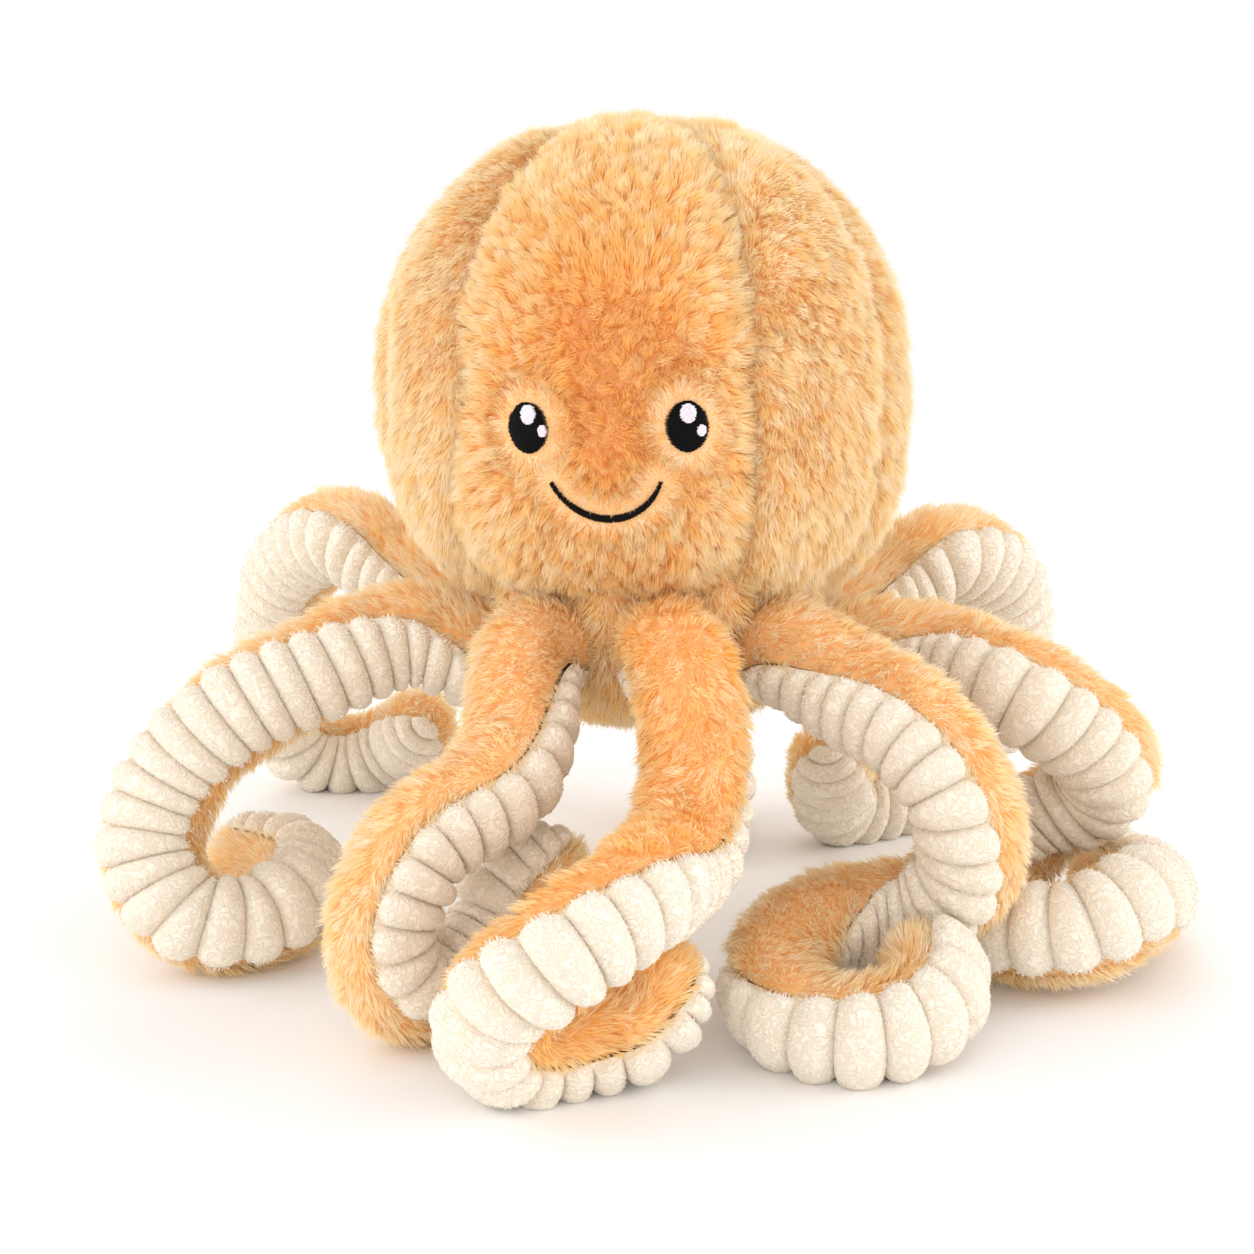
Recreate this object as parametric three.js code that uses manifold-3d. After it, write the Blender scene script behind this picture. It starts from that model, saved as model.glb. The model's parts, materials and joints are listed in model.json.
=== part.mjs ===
// Plush octopus: a stuffed head of seven gores, eight curled arms and an embroidered face
// Millimetres, +Z up, the face looks along -Y, the arms rest on the floor at z = 0
import * as THREE from 'three';
import { mergeVertices } from 'three/addons/utils/BufferGeometryUtils.js';
import Module from 'manifold-3d';

const wasm = await Module();
wasm.setup();

// Head: widest line, crown above it and neck seam below it, along the head's own axis
const headWidth = 197;
const crownHeight = 99;
const cheekHeight = 86;
const cheekFullness = 45;
const jawWidth = 180;
const jawRise = 17;
const headSway = 5.4;
const goreBulge = 2.4;
const crownStitch = 2;

// Arms: thickness at the neck and at the tip, pitch and relief of the ribbed strip
const armWidth = 40;
const tipWidth = 36;
const ribPitch = 10.5;
const ribRise = 1.3;
const ribDip = 1.9;
const seamDip = 1;
const armSideClearance = 1.8;

// Height of the neck seam's centre above the floor
const neckHeight = 134.7;

// Cloth and stitching
const skinThickness = 1.5;
const seamGap = 0.3;
const stripGap = 0.5;
const layGap = 0.4;
const floorPress = 0.5;

// Face
const eyeWidth = 15.6;
const eyeHeight = 17.6;
const eyeThickness = 1.1;
const glintWidth = 6;
const glintHeight = 7.2;
const smallGlintWidth = 3.3;
const smallGlintHeight = 4.2;
const glintThickness = 0.6;
const eyeDrop = 26;
const mouthWidth = 38.5;
const mouthSag = 12.5;
const mouthDrop = 45;
const mouthShift = -1.8;
const mouthLine = 2.2;
const mouthThickness = 1;

// Angles in degrees
const headLean = 12.15;
const rootDrop = 5;
const liftLimit = 20;
const swingMargin = 1.5;
const stripHalfAngle = 68;
const tipAngles = [30, 60, 84];
const faceTurn = -7.75;
const eyeTurn = 16.7;
const armCount = 8;
const firstArmTurn = 4;

// Seams of the head: turn at the widest line and at the neck, from the face's left seam round
const seamTurns = [
  [-43, -63.5],
  [24.3, 26.5],
  [67, 71.5],
  [121, 116.5],
  [174, 161.5],
  [227, 206.5],
  [280, 251.5],
  [317, 296.5],
];
const goreColumns = [8, 4, 4, 4, 4, 4, 4];
const crownRings = 6;
const cheekRings = 6;

// Places where the arm seams meet the neck
const neckRadius = (armWidth / 2 + armSideClearance) / Math.sin(Math.PI / armCount);
const armRadius = armWidth / 2;
const tipRadius = tipWidth / 2;
const armWall = ribDip + skinThickness;
const stuffingInset = skinThickness + layGap;
const hubHeight = armWidth;

const rad = THREE.MathUtils.degToRad;

// Colours of the cloths and threads
const furCloth = new THREE.MeshStandardMaterial({ color: 0xf6bd80, roughness: 0.95, metalness: 0 });
const ribCloth = new THREE.MeshStandardMaterial({ color: 0xf0e6d8, roughness: 0.95, metalness: 0 });
const stuffingFibre = new THREE.MeshStandardMaterial({ color: 0xf4f2ee, roughness: 1, metalness: 0 });
const blackThread = new THREE.MeshStandardMaterial({ color: 0x1c1a1c, roughness: 0.55, metalness: 0 });
const whiteThread = new THREE.MeshStandardMaterial({ color: 0xf1ecf2, roughness: 0.55, metalness: 0 });

// Paths of the arms, right, back and up from the floor under the neck, and the way the strip faces
// Places are shares of the arm's width, in the arm's order round the neck
const armPathShares = {
  front: [
    [0.25, -2.25, 3.05, 0, 0.95, -0.4],
    [0.3, -2.8, 2.4, 0.1, 0.95, -0.3],
    [0.15, -3.45, 1.9, 0.75, 0.5, -0.4],
    [-0.3, -4.45, 1.8, 0.7, -0.55, -0.4],
    [-0.85, -4.85, 1.5, 0.15, -0.95, -0.2],
    [-1.3, -4.75, 1.05, -0.5, -0.85, 0],
    [-1.3, -4.5, 0.65, -0.85, -0.5, -0.1],
    [-1.05, -4.25, 0.45, -0.5, -0.4, -0.8],
    [-0.45, -4.05, 0.5, 0.1, 0, -1],
    [-0.2, -4, 0.6, 0.6, 0, -0.8],
    [0, -3.9, 0.8, 0.95, 0, -0.1],
  ],
  front_right: [
    [1.75, -1.55, 2.9, -0.3, -0.85, -0.4],
    [2.4, -2.15, 2.55, -0.45, -0.85, -0.25],
    [2.75, -2.4, 2.05, -0.65, -0.75, 0],
    [2.8, -2.25, 1.4, -0.75, -0.65, 0.2],
    [2.45, -2, 1, -0.5, -0.8, 0.2],
    [1.95, -1.95, 0.9, -0.15, -0.95, 0.1],
    [1.4, -2.25, 0.85, -0.1, -0.6, -0.8],
    [1.1, -2.75, 0.7, -0.5, -0.3, -0.9],
    [1.2, -3.5, 0.55, -0.6, -0.75, -0.1],
    [1.65, -3.75, 0.5, 0, -1, 0.35],
    [2.1, -3.65, 0.55, 0.5, -0.85, 0.35],
    [2.35, -3.35, 0.65, 0.95, -0.2, 0.3],
    [2.4, -3, 0.75, 0.5, 0.8, 0.3],
  ],
  right: [
    [2.65, -0.1, 2.85, 0, -0.9, -0.3],
    [3.55, -0.7, 2.6, 0, -0.95, -0.15],
    [4.3, -0.5, 1.95, 0.1, -1, 0],
    [4.3, -0.2, 1.55, -0.1, -1, 0.15],
    [3.75, 0, 1.05, -0.55, -0.85, 0.1],
    [3.35, -0.35, 0.55, -0.9, -0.4, 0.2],
    [3.35, -1.6, 0.55, -0.5, -0.85, 0.6],
    [3.85, -1.9, 0.65, 0.1, -1, 0.8],
    [4.35, -1.7, 0.8, 0.8, -0.5, 0.8],
    [4.75, -0.25, 0.5, 0.8, 0.6, 0.6],
    [4.6, 0.3, 0.45, 0, 1, 0.5],
  ],
  rear_right: [
    [2.5, 2.25, 3, 0.1, -0.85, -0.5],
    [3.1, 2.55, 3.25, 0.2, -0.85, -0.4],
    [3.7, 3.1, 2.9, 0.5, -0.8, -0.1],
    [3.9, 3.55, 2.05, 0.65, -0.75, 0],
    [3.75, 3.7, 1.35, 0.45, -0.85, 0.1],
    [3.25, 3.6, 0.75, 0.1, -0.95, 0.1],
    [2.55, 3.25, 0.55, -0.2, -0.95, 0.2],
    [2.05, 2.85, 0.65, -0.4, -0.9, 0.2],
    [1.9, 2.2, 1.2, -0.4, -0.9, 0.2],
  ],
  rear: [
    [-0.05, 2.2, 2.5, 0.3, 0, -1],
    [-0.05, 2.95, 2.25, 0.6, 0, -0.8],
    [0.1, 3.8, 1.7, 0.9, 0, -0.4],
    [0.3, 4, 1.1, 1, 0, 0],
    [0.4, 3.65, 0.6, 1, 0, 0.1],
    [0.4, 2.9, 0.45, 0.9, 0, 0.3],
    [0.3, 2.3, 0.5, 0.9, 0, 0.3],
  ],
  rear_left: [
    [-2.65, 2.3, 3.15, -0.2, -0.8, -0.5],
    [-3.25, 2.8, 3.4, -0.3, -0.85, -0.4],
    [-3.85, 3.55, 3, -0.6, -0.75, -0.1],
    [-4.15, 4.15, 2.2, -0.75, -0.6, 0],
    [-4.25, 4.6, 1.4, -0.7, -0.7, 0],
    [-4.05, 4.95, 0.7, -0.4, -0.9, 0],
    [-3.55, 5.05, 0.5, 0, -1, 0.1],
    [-2.95, 4.85, 0.7, 0.2, -0.95, 0.2],
    [-2.65, 4.25, 1, 0.3, -0.95, 0.2],
  ],
  left: [
    [-2.4, -0.25, 3.05, 0, -0.95, -0.2],
    [-3.3, -0.55, 2.75, 0, -1, -0.05],
    [-4.1, -0.75, 2.3, -0.1, -1, 0.1],
    [-4.6, -0.85, 1.7, -0.5, -0.85, 0.35],
    [-4.75, -1.05, 1.1, -0.8, -0.6, 0.6],
    [-4.45, -1.25, 0.6, -0.6, -0.8, 1],
    [-4, -1.2, 0.45, 0, -0.8, 1],
    [-3.6, -0.85, 0.5, 0.8, -0.5, 1],
    [-3.6, 0.05, 0.55, 0.75, 0.6, 0.8],
    [-4.05, 0.5, 0.55, -0.1, 1, 0.6],
  ],
  front_left: [
    [-1.2, -1.6, 3.05, 0.75, 0.1, -0.6],
    [-1.4, -2.5, 2.35, 0.85, -0.3, -0.4],
    [-2.1, -3.1, 1.85, 0.85, -0.5, -0.2],
    [-2.4, -3.3, 1.15, 0.85, -0.5, -0.1],
    [-2.3, -3.2, 0.7, 0.7, -0.7, 0],
    [-2, -2.9, 0.45, 0.1, -0.95, 0.1],
    [-1.5, -2.45, 0.7, -0.9, -0.2, 0.3],
    [-1.25, -2.25, 1.1, -1, 0.2, 0.3],
    [-1.05, -2.2, 1.3, -1, 0.2, 0.3],
  ],
};
const rootLeadShare = 0.25;
const twistPasses = 24;

// Solid meshes from rows of points

class Facets {
  constructor() {
    this.corners = [];
  }

  triangle(a, b, c) {
    this.corners.push(a, b, c);
  }

  quad(a, b, c, d) {
    this.triangle(a, b, c);
    this.triangle(a, c, d);
  }

  volume() {
    let total = 0;
    for (let i = 0; i < this.corners.length; i += 3) {
      const [a, b, c] = this.corners.slice(i, i + 3);
      total += a.dot(b.clone().cross(c));
    }
    return total / 6;
  }

  geometry() {
    const outward = this.volume() > 0;
    const ordered = outward ? this.corners : this.corners.slice().reverse();
    const loose = new THREE.BufferGeometry().setFromPoints(ordered);
    const solid = mergeVertices(loose, seamGap / 100);
    return dropFlatFacets(solid);
  }
}

// A facet whose corners have merged has no area and is left out
function dropFlatFacets(geometry) {
  const kept = [];
  const index = geometry.index.array;
  for (let i = 0; i < index.length; i += 3) {
    const [a, b, c] = [index[i], index[i + 1], index[i + 2]];
    if (a !== b && b !== c && a !== c) kept.push(a, b, c);
  }
  geometry.setIndex(kept);
  return geometry;
}

// The wall between an outer row and an inner row, with one or two outer steps to an inner one
function edgeWall(facets, outer, inner) {
  const steps = (outer.length - 1) / (inner.length - 1);
  for (let k = 0; k < inner.length - 1; k += 1) {
    const first = k * steps;
    const last = first + steps;
    facets.triangle(outer[first], inner[k], outer[first + 1]);
    facets.triangle(outer[first + 1], inner[k], inner[k + 1]);
    if (last > first + 1) facets.triangle(outer[first + 1], inner[k + 1], outer[last]);
  }
}

// A cloth panel between an outer and an inner sheet of points
function panelSolid(outer, inner) {
  const facets = new Facets();
  const columns = outer[0].length - 1;
  for (const [sheet, flip] of [[outer, false], [inner, true]]) {
    for (let i = 0; i < sheet.length - 1; i += 1) {
      for (let j = 0; j < columns; j += 1) {
        const [a, b] = [sheet[i][j], sheet[i + 1][j]];
        const [c, d] = [sheet[i + 1][j + 1], sheet[i][j + 1]];
        if (flip) facets.quad(a, d, c, b);
        else facets.quad(a, b, c, d);
      }
    }
  }
  const side = (sheet, j) => sheet.map((row) => row[j]);
  edgeWall(facets, side(outer, 0), side(inner, 0));
  edgeWall(facets, side(outer, columns).reverse(), side(inner, columns).reverse());
  edgeWall(facets, outer[0].slice().reverse(), inner[0].slice().reverse());
  edgeWall(facets, outer[outer.length - 1], inner[inner.length - 1]);
  return facets.geometry();
}

// A solid through closed loops of points, capped at both ends
function loopSolid(loops) {
  const facets = new Facets();
  const count = loops[0].length;
  for (let i = 0; i < loops.length - 1; i += 1) {
    for (let j = 0; j < count; j += 1) {
      const next = (j + 1) % count;
      facets.quad(loops[i][j], loops[i + 1][j], loops[i + 1][next], loops[i][next]);
    }
  }
  capLoop(facets, loops[0], false);
  capLoop(facets, loops[loops.length - 1], true);
  return facets.geometry();
}

function capLoop(facets, loop, last) {
  const middle = loop.reduce((sum, p) => sum.add(p), new THREE.Vector3()).divideScalar(loop.length);
  loop.forEach((point, j) => {
    const next = loop[(j + 1) % loop.length];
    if (last) facets.triangle(middle, next, point);
    else facets.triangle(middle, point, next);
  });
}

// Cuts with solid bodies

function toSolid(geometry) {
  const mesh = new wasm.Mesh({
    numProp: 3,
    vertProperties: new Float32Array(geometry.attributes.position.array),
    triVerts: new Uint32Array(geometry.index.array),
  });
  return new wasm.Manifold(mesh);
}

function toGeometry(solid) {
  const mesh = solid.getMesh();
  const geometry = new THREE.BufferGeometry();
  geometry.setAttribute('position', new THREE.BufferAttribute(mesh.vertProperties, 3));
  geometry.setIndex(new THREE.BufferAttribute(mesh.triVerts, 1));
  return geometry;
}

// The floor presses a flat on every arm that lies on it
function pressedFlat(geometry) {
  geometry.computeBoundingBox();
  const box = geometry.boundingBox;
  if (box.min.z >= 0) return geometry;
  const size = box.getSize(new THREE.Vector3()).addScalar(armWidth);
  const slab = new THREE.BoxGeometry(size.x, size.y, armWidth);
  slab.deleteAttribute('normal');
  slab.deleteAttribute('uv');
  const middle = box.getCenter(new THREE.Vector3());
  slab.translate(middle.x, middle.y, -armWidth / 2);
  return toGeometry(toSolid(geometry).subtract(toSolid(mergeVertices(slab))));
}

const octopus = new THREE.Group();
const pieces = new THREE.Group();
octopus.add(pieces);

function addPiece(name, geometry, material) {
  geometry.computeVertexNormals();
  const mesh = new THREE.Mesh(geometry, material);
  mesh.name = name;
  pieces.add(mesh);
}

// The neck frame leans back, with its origin at the middle of the neck seam
const neckFrame = new THREE.Matrix4()
  .makeRotationX(-rad(headLean))
  .setPosition(0, 0, neckHeight);
const fromNeck = (x, y, z) => new THREE.Vector3(x, y, z).applyMatrix4(neckFrame);
const radialX = (turn) => Math.sin(rad(turn));
const radialY = (turn) => -Math.cos(rad(turn));

// Head

const cheekCurve = new THREE.CubicBezierCurve(
  new THREE.Vector2(headWidth / 2, cheekHeight),
  new THREE.Vector2(headWidth / 2, cheekHeight - cheekFullness),
  new THREE.Vector2(jawWidth / 2, jawRise),
  new THREE.Vector2(neckRadius, seamGap),
);

// Radius, height and outward direction of the head's side, at a share of the way down from the crown
function headProfile(share) {
  if (share <= 0.5) {
    const angle = share * Math.PI;
    const place = new THREE.Vector2(
      (Math.sin(angle) * headWidth) / 2,
      cheekHeight + Math.cos(angle) * crownHeight,
    );
    const outward = new THREE.Vector2(Math.sin(angle) * crownHeight, (Math.cos(angle) * headWidth) / 2);
    return { place, outward: outward.normalize() };
  }
  const along = share * 2 - 1;
  const tangent = cheekCurve.getTangent(along);
  return { place: cheekCurve.getPoint(along), outward: new THREE.Vector2(-tangent.y, tangent.x) };
}

function seamTurn(seam, share) {
  const [widest, neck] = seamTurns[seam];
  const below = THREE.MathUtils.smoothstep(share, 0.5, 1);
  return widest + (neck - widest) * below;
}

// Fullness of a gore between its two seams, fading at the crown and the neck
function goreFullness(across, share) {
  const between = Math.sin(Math.PI * THREE.MathUtils.clamp(across, 0, 1));
  return goreBulge * Math.sqrt(between) * Math.sqrt(Math.sin(Math.PI * Math.min(share, 1)));
}

// A point of the head at a turn round its axis, raised by a distance from the cloth's outer face
function headPoint(turn, share, fullness, raise) {
  const { place, outward } = headProfile(share);
  const lift = fullness + raise;
  const radius = place.x + outward.x * lift;
  const height = place.y + outward.y * lift;
  const swayed = -headSway * Math.sin((Math.PI / 2) * THREE.MathUtils.clamp(height / cheekHeight, 0, 1));
  return fromNeck(radius * radialX(turn) + swayed, radius * radialY(turn), height);
}

const crownStartShare = crownStitch / (headWidth * Math.PI) * 2;
const headShares = [crownStartShare];
for (let ring = 1; ring <= crownRings; ring += 1) headShares.push((ring / crownRings) * 0.5);
for (let ring = 1; ring <= cheekRings; ring += 1) headShares.push(0.5 + (ring / cheekRings) * 0.5);

function goreTurn(gore, share, across, inset) {
  const radius = headProfile(share).place.x;
  const edge = THREE.MathUtils.radToDeg(inset / radius);
  const start = seamTurn(gore, share) + edge;
  const end = seamTurn(gore + 1, share) - edge;
  return start + (end - start) * across;
}

function goreSheet(gore, raise, inset) {
  const columns = goreColumns[gore];
  return headShares.map((share) => {
    const row = [];
    for (let j = 0; j <= columns; j += 1) {
      const across = j / columns;
      row.push(headPoint(goreTurn(gore, share, across, inset), share, goreFullness(across, share), raise));
    }
    return row;
  });
}

const goreNames = ['face', 'front_right', 'right', 'rear_right', 'rear', 'rear_left', 'left'];

function addGores() {
  goreNames.forEach((name, gore) => {
    const outer = goreSheet(gore, 0, seamGap / 2);
    const inner = goreSheet(gore, -skinThickness, seamGap / 2);
    addPiece(`head_gore_${name}`, panelSolid(outer, inner), furCloth);
  });
}

// The hub between the arm roots narrows downwards, so that an arm can swing up beside it
const hubTopRadius = neckRadius - stuffingInset - skinThickness;
const hubSlope = Math.tan(rad(liftLimit + rootDrop + swingMargin));
const hubBottomRadius = hubTopRadius - hubHeight * hubSlope;

function headStuffingLoops() {
  const sheets = goreNames.map((name, gore) => goreSheet(gore, -stuffingInset, 0));
  const loops = headShares.map((share, i) => sheets.flatMap((sheet) => sheet[i].slice(0, -1)));
  const turns = goreNames.flatMap((name, gore) => {
    const columns = goreColumns[gore];
    return Array.from({ length: columns }, (unused, j) => goreTurn(gore, 1, j / columns, 0));
  });
  const hubLoop = (radius, height) =>
    turns.map((turn) => fromNeck(radius * radialX(turn), radius * radialY(turn), height));
  loops.push(hubLoop(hubTopRadius, -seamGap));
  loops.push(hubLoop(hubBottomRadius, -hubHeight));
  return loops;
}

function addHeadStuffing() {
  addPiece('head_stuffing', loopSolid(headStuffingLoops()), stuffingFibre);
}

// The base panel closes the hub from below, with a drawn-in rim
function addBasePanel() {
  const top = -layGap;
  const rim = hubBottomRadius - seamGap;
  const profile = [
    new THREE.Vector2(0, top),
    new THREE.Vector2(rim, top),
    new THREE.Vector2(rim + skinThickness / 2, top - skinThickness / 2),
    new THREE.Vector2(rim - skinThickness, top - skinThickness * 2),
    new THREE.Vector2(rim / 2, top - skinThickness * 3),
    new THREE.Vector2(0, top - skinThickness * 3),
  ];
  const lathe = new THREE.LatheGeometry(profile.reverse(), 24);
  lathe.deleteAttribute('normal');
  lathe.deleteAttribute('uv');
  lathe.rotateX(Math.PI / 2);
  lathe.translate(0, 0, -hubHeight);
  lathe.applyMatrix4(neckFrame);
  addPiece('base_panel', dropFlatFacets(mergeVertices(lathe)), furCloth);
}

// Face

// Share of the way down the head whose profile lies a height above the neck
function shareAtHeight(height) {
  let [high, low] = [0, 1];
  for (let step = 0; step < 40; step += 1) {
    const middle = (high + low) / 2;
    if (headProfile(middle).place.y > height) high = middle;
    else low = middle;
  }
  return (high + low) / 2;
}

// A point of the face, across and up from a place given by turn and height, raised over the cloth
function facePoint(turn, height, across, up, raise) {
  const share = shareAtHeight(height + up);
  const radius = headProfile(share).place.x;
  const pointTurn = turn + THREE.MathUtils.radToDeg(across / radius);
  const start = seamTurn(0, share);
  const overGore = (pointTurn - start) / (seamTurn(1, share) - start);
  return headPoint(pointTurn, share, goreFullness(overGore, share), raise);
}

const patchSpokes = 16;

// An oval patch of satin stitches that follows the face
function ovalPatch(turn, height, offset, size, bottom, top) {
  const loop = (scale, raise) =>
    Array.from({ length: patchSpokes }, (unused, j) => {
      const angle = (j / patchSpokes) * 2 * Math.PI;
      const across = offset[0] + (Math.cos(angle) * scale * size[0]) / 2;
      const up = offset[1] + (Math.sin(angle) * scale * size[1]) / 2;
      return facePoint(turn, height, across, up, raise);
    });
  return loopSolid([loop(0.5, bottom), loop(1, bottom), loop(1, top), loop(0.5, top)]);
}

// The small highlight's place, right and up from the middle of the eye
const smallGlintShares = [0.29, -0.06];

function addEyes() {
  const eyeLevel = cheekHeight - eyeDrop;
  const eyeTop = seamGap + eyeThickness;
  const glintBottom = eyeTop + seamGap;
  const glintTop = glintBottom + glintThickness;
  const largeOffset = [0, eyeHeight / 4];
  const smallOffset = [eyeWidth * smallGlintShares[0], eyeHeight * smallGlintShares[1]];
  for (const [side, sign] of [['left', -1], ['right', 1]]) {
    const turn = faceTurn + sign * eyeTurn;
    const eye = ovalPatch(turn, eyeLevel, [0, 0], [eyeWidth, eyeHeight], seamGap, eyeTop);
    addPiece(`eye_${side}`, eye, blackThread);
    const large = ovalPatch(turn, eyeLevel, largeOffset, [glintWidth, glintHeight], glintBottom, glintTop);
    addPiece(`eye_${side}_large_glint`, large, whiteThread);
    const smallSize = [smallGlintWidth, smallGlintHeight];
    const small = ovalPatch(turn, eyeLevel, smallOffset, smallSize, glintBottom, glintTop);
    addPiece(`eye_${side}_small_glint`, small, whiteThread);
  }
}

const mouthSteps = 16;
const mouthTaperShare = 0.5;

// The smile is one arc of a circle in stitches, thinner towards its ends
function addMouth() {
  const level = cheekHeight - mouthDrop;
  const halfAngle = 2 * Math.atan2(2 * mouthSag, mouthWidth);
  const arcRadius = mouthWidth / 2 / Math.sin(halfAngle);
  const top = seamGap + mouthThickness;
  const loops = [];
  for (let step = 0; step <= mouthSteps; step += 1) {
    const along = (step / mouthSteps) * 2 - 1;
    const angle = along * halfAngle;
    const across = mouthShift + arcRadius * Math.sin(angle);
    const up = arcRadius * (Math.cos(halfAngle) - Math.cos(angle));
    const half = (mouthLine / 2) * (1 - mouthTaperShare * along * along);
    const [sideX, sideY] = [-Math.sin(angle) * half, Math.cos(angle) * half];
    const corner = (sign, raise) =>
      facePoint(faceTurn, level, across + sign * sideX, up + sign * sideY, raise);
    loops.push([corner(-1, seamGap), corner(1, seamGap), corner(1, top), corner(-1, top)]);
  }
  addPiece('mouth', loopSolid(loops), blackThread);
}

// Arms

// The first places of a path leave the neck seam square to the arm's open end
function armRoot(turn) {
  const drop = rad(rootDrop);
  const hinge = new THREE.Vector3(neckRadius * radialX(turn), neckRadius * radialY(turn), 0);
  const way = new THREE.Vector3(radialX(turn) * Math.cos(drop), radialY(turn) * Math.cos(drop), -Math.sin(drop));
  const down = new THREE.Vector3(-radialX(turn) * Math.sin(drop), -radialY(turn) * Math.sin(drop), -Math.cos(drop));
  const start = hinge.addScaledVector(way, seamGap).addScaledVector(down, armRadius);
  const lead = start.clone().addScaledVector(way, rootLeadShare * armWidth);
  return [start, lead].map((point) => point.applyMatrix4(neckFrame));
}

// Control places and strip directions of one arm, drawn down by a factor below its root
function armControls(name, turn, drawn) {
  const [start, lead] = armRoot(turn);
  const rows = armPathShares[name];
  const places = rows.map((row) => new THREE.Vector3(row[0], row[1], row[2]).multiplyScalar(armWidth));
  places.forEach((place) => {
    place.z = start.z - (start.z - place.z) * drawn;
  });
  const rootFacing = new THREE.Vector3(0, 0, -1);
  const facings = rows.map((row) => new THREE.Vector3(row[3], row[4], row[5]));
  return { places: [start, lead, ...places], facings: [rootFacing, rootFacing, ...facings] };
}

// Stations at every rib groove, each with its middle, direction, strip side and radius
function armStations(controls) {
  const curve = new THREE.CatmullRomCurve3(controls.places, false, 'centripetal');
  curve.arcLengthDivisions = 600;
  const ribs = Math.round(curve.getLength() / ribPitch);
  const stations = [];
  for (let k = 0; k <= ribs; k += 1) {
    const share = k / ribs;
    const t = curve.getUtoTmapping(share);
    const radius = armRadius - (armRadius - tipRadius) * share * share;
    const facing = wantedFacing(controls.facings, t);
    stations.push({ middle: curve.getPoint(t), way: curve.getTangent(t), facing, radius });
  }
  return rootDrawnUp(twistEvened(stations));
}

// How far the first places of an arm follow its open end
const rootDrawnShares = [1, 1, 0.6, 0.2];

// The open end is drawn up until its highest edge lies at the neck seam
function rootDrawnUp(stations) {
  const up = new THREE.Vector3(0, 0, 1).transformDirection(neckFrame);
  const seam = fromNeck(0, 0, 0).dot(up);
  const edge = panelRow(stations[0], furSpan, stations[0].radius, 0, seamDip, 0);
  const short = seam - Math.max(...edge.map((point) => point.dot(up)));
  rootDrawnShares.forEach((share, k) => stations[k].middle.addScaledVector(up, short * share));
  return stations;
}

function wantedFacing(facings, t) {
  const reach = t * (facings.length - 1);
  const before = Math.min(Math.floor(reach), facings.length - 2);
  return facings[before].clone().normalize().lerp(facings[before + 1].clone().normalize(), reach - before);
}

// The strip turns round the arm evenly: its turn against an untwisted frame is smoothed along the arm
function twistEvened(stations) {
  const square = (vector, way) => vector.clone().addScaledVector(way, -vector.dot(way)).normalize();
  let carried = square(stations[0].facing, stations[0].way);
  let turn = 0;
  const frames = stations.map(({ facing, way }) => {
    carried = square(carried, way);
    const side = way.clone().cross(carried);
    const wanted = Math.atan2(facing.dot(side), facing.dot(carried));
    turn += Math.atan2(Math.sin(wanted - turn), Math.cos(wanted - turn));
    return { carried: carried.clone(), side, turn };
  });
  let turns = frames.map((frame) => frame.turn);
  for (let pass = 0; pass < twistPasses; pass += 1) {
    turns = turns.map((value, k) => {
      const before = turns[Math.max(k - 1, 0)];
      const after = turns[Math.min(k + 1, turns.length - 1)];
      return k === 0 ? value : (before + value * 2 + after) / 4;
    });
  }
  stations.forEach((station, k) => {
    const { carried: up, side } = frames[k];
    station.strip = up.multiplyScalar(Math.cos(turns[k])).addScaledVector(side, Math.sin(turns[k]));
  });
  return stations;
}

// A point of an arm's cross-section, at an angle from the middle of the ribbed strip
function sectionPoint(station, angle, radius, tipAngle) {
  const side = station.way.clone().cross(station.strip);
  const flat = radius * Math.cos(tipAngle);
  return station.middle.clone()
    .addScaledVector(station.strip, Math.cos(angle) * flat)
    .addScaledVector(side, Math.sin(angle) * flat)
    .addScaledVector(station.way, Math.sin(tipAngle) * radius);
}

const stripAngle = rad(stripHalfAngle);
const evenShares = (steps) => Array.from({ length: steps + 1 }, (unused, j) => j / steps);
const stripShares = evenShares(3);
const furShares = evenShares(4);
const stripSpan = { from: -stripAngle, to: stripAngle, shares: stripShares };
const furSpan = { from: stripAngle, to: 2 * Math.PI - stripAngle, shares: furShares };

// Angles across a panel, each edge drawn back from the seam by half the gap at a radius
function panelAngles(span, radius) {
  const edge = stripGap / 2 / radius;
  return span.shares.map((share) => span.from + edge + (span.to - span.from - 2 * edge) * share);
}

// One row across a panel; the relief acts between the seams and the seam itself is drawn in
function panelRow(station, span, radius, relief, seam, tipAngle) {
  return panelAngles(span, radius * Math.cos(tipAngle)).map((angle, j) => {
    const between = Math.sin(Math.PI * span.shares[j]);
    const reach = radius + relief * Math.sqrt(between) - seam * (1 - between);
    return sectionPoint(station, angle, reach, tipAngle);
  });
}

function midRow(rowA, rowB) {
  return rowA.map((point, j) => point.clone().lerp(rowB[j], 0.5));
}

// Rows of a panel's sheet at the rib grooves and over the rounded tip
function panelSheet(stations, span, inset, relief, seam) {
  const row = (station, angle) => panelRow(station, span, station.radius - inset, relief, seam, angle);
  const rows = stations.map((station) => row(station, 0));
  const last = stations[stations.length - 1];
  tipAngles.forEach((angle) => rows.push(row(last, rad(angle))));
  return rows;
}

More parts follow.
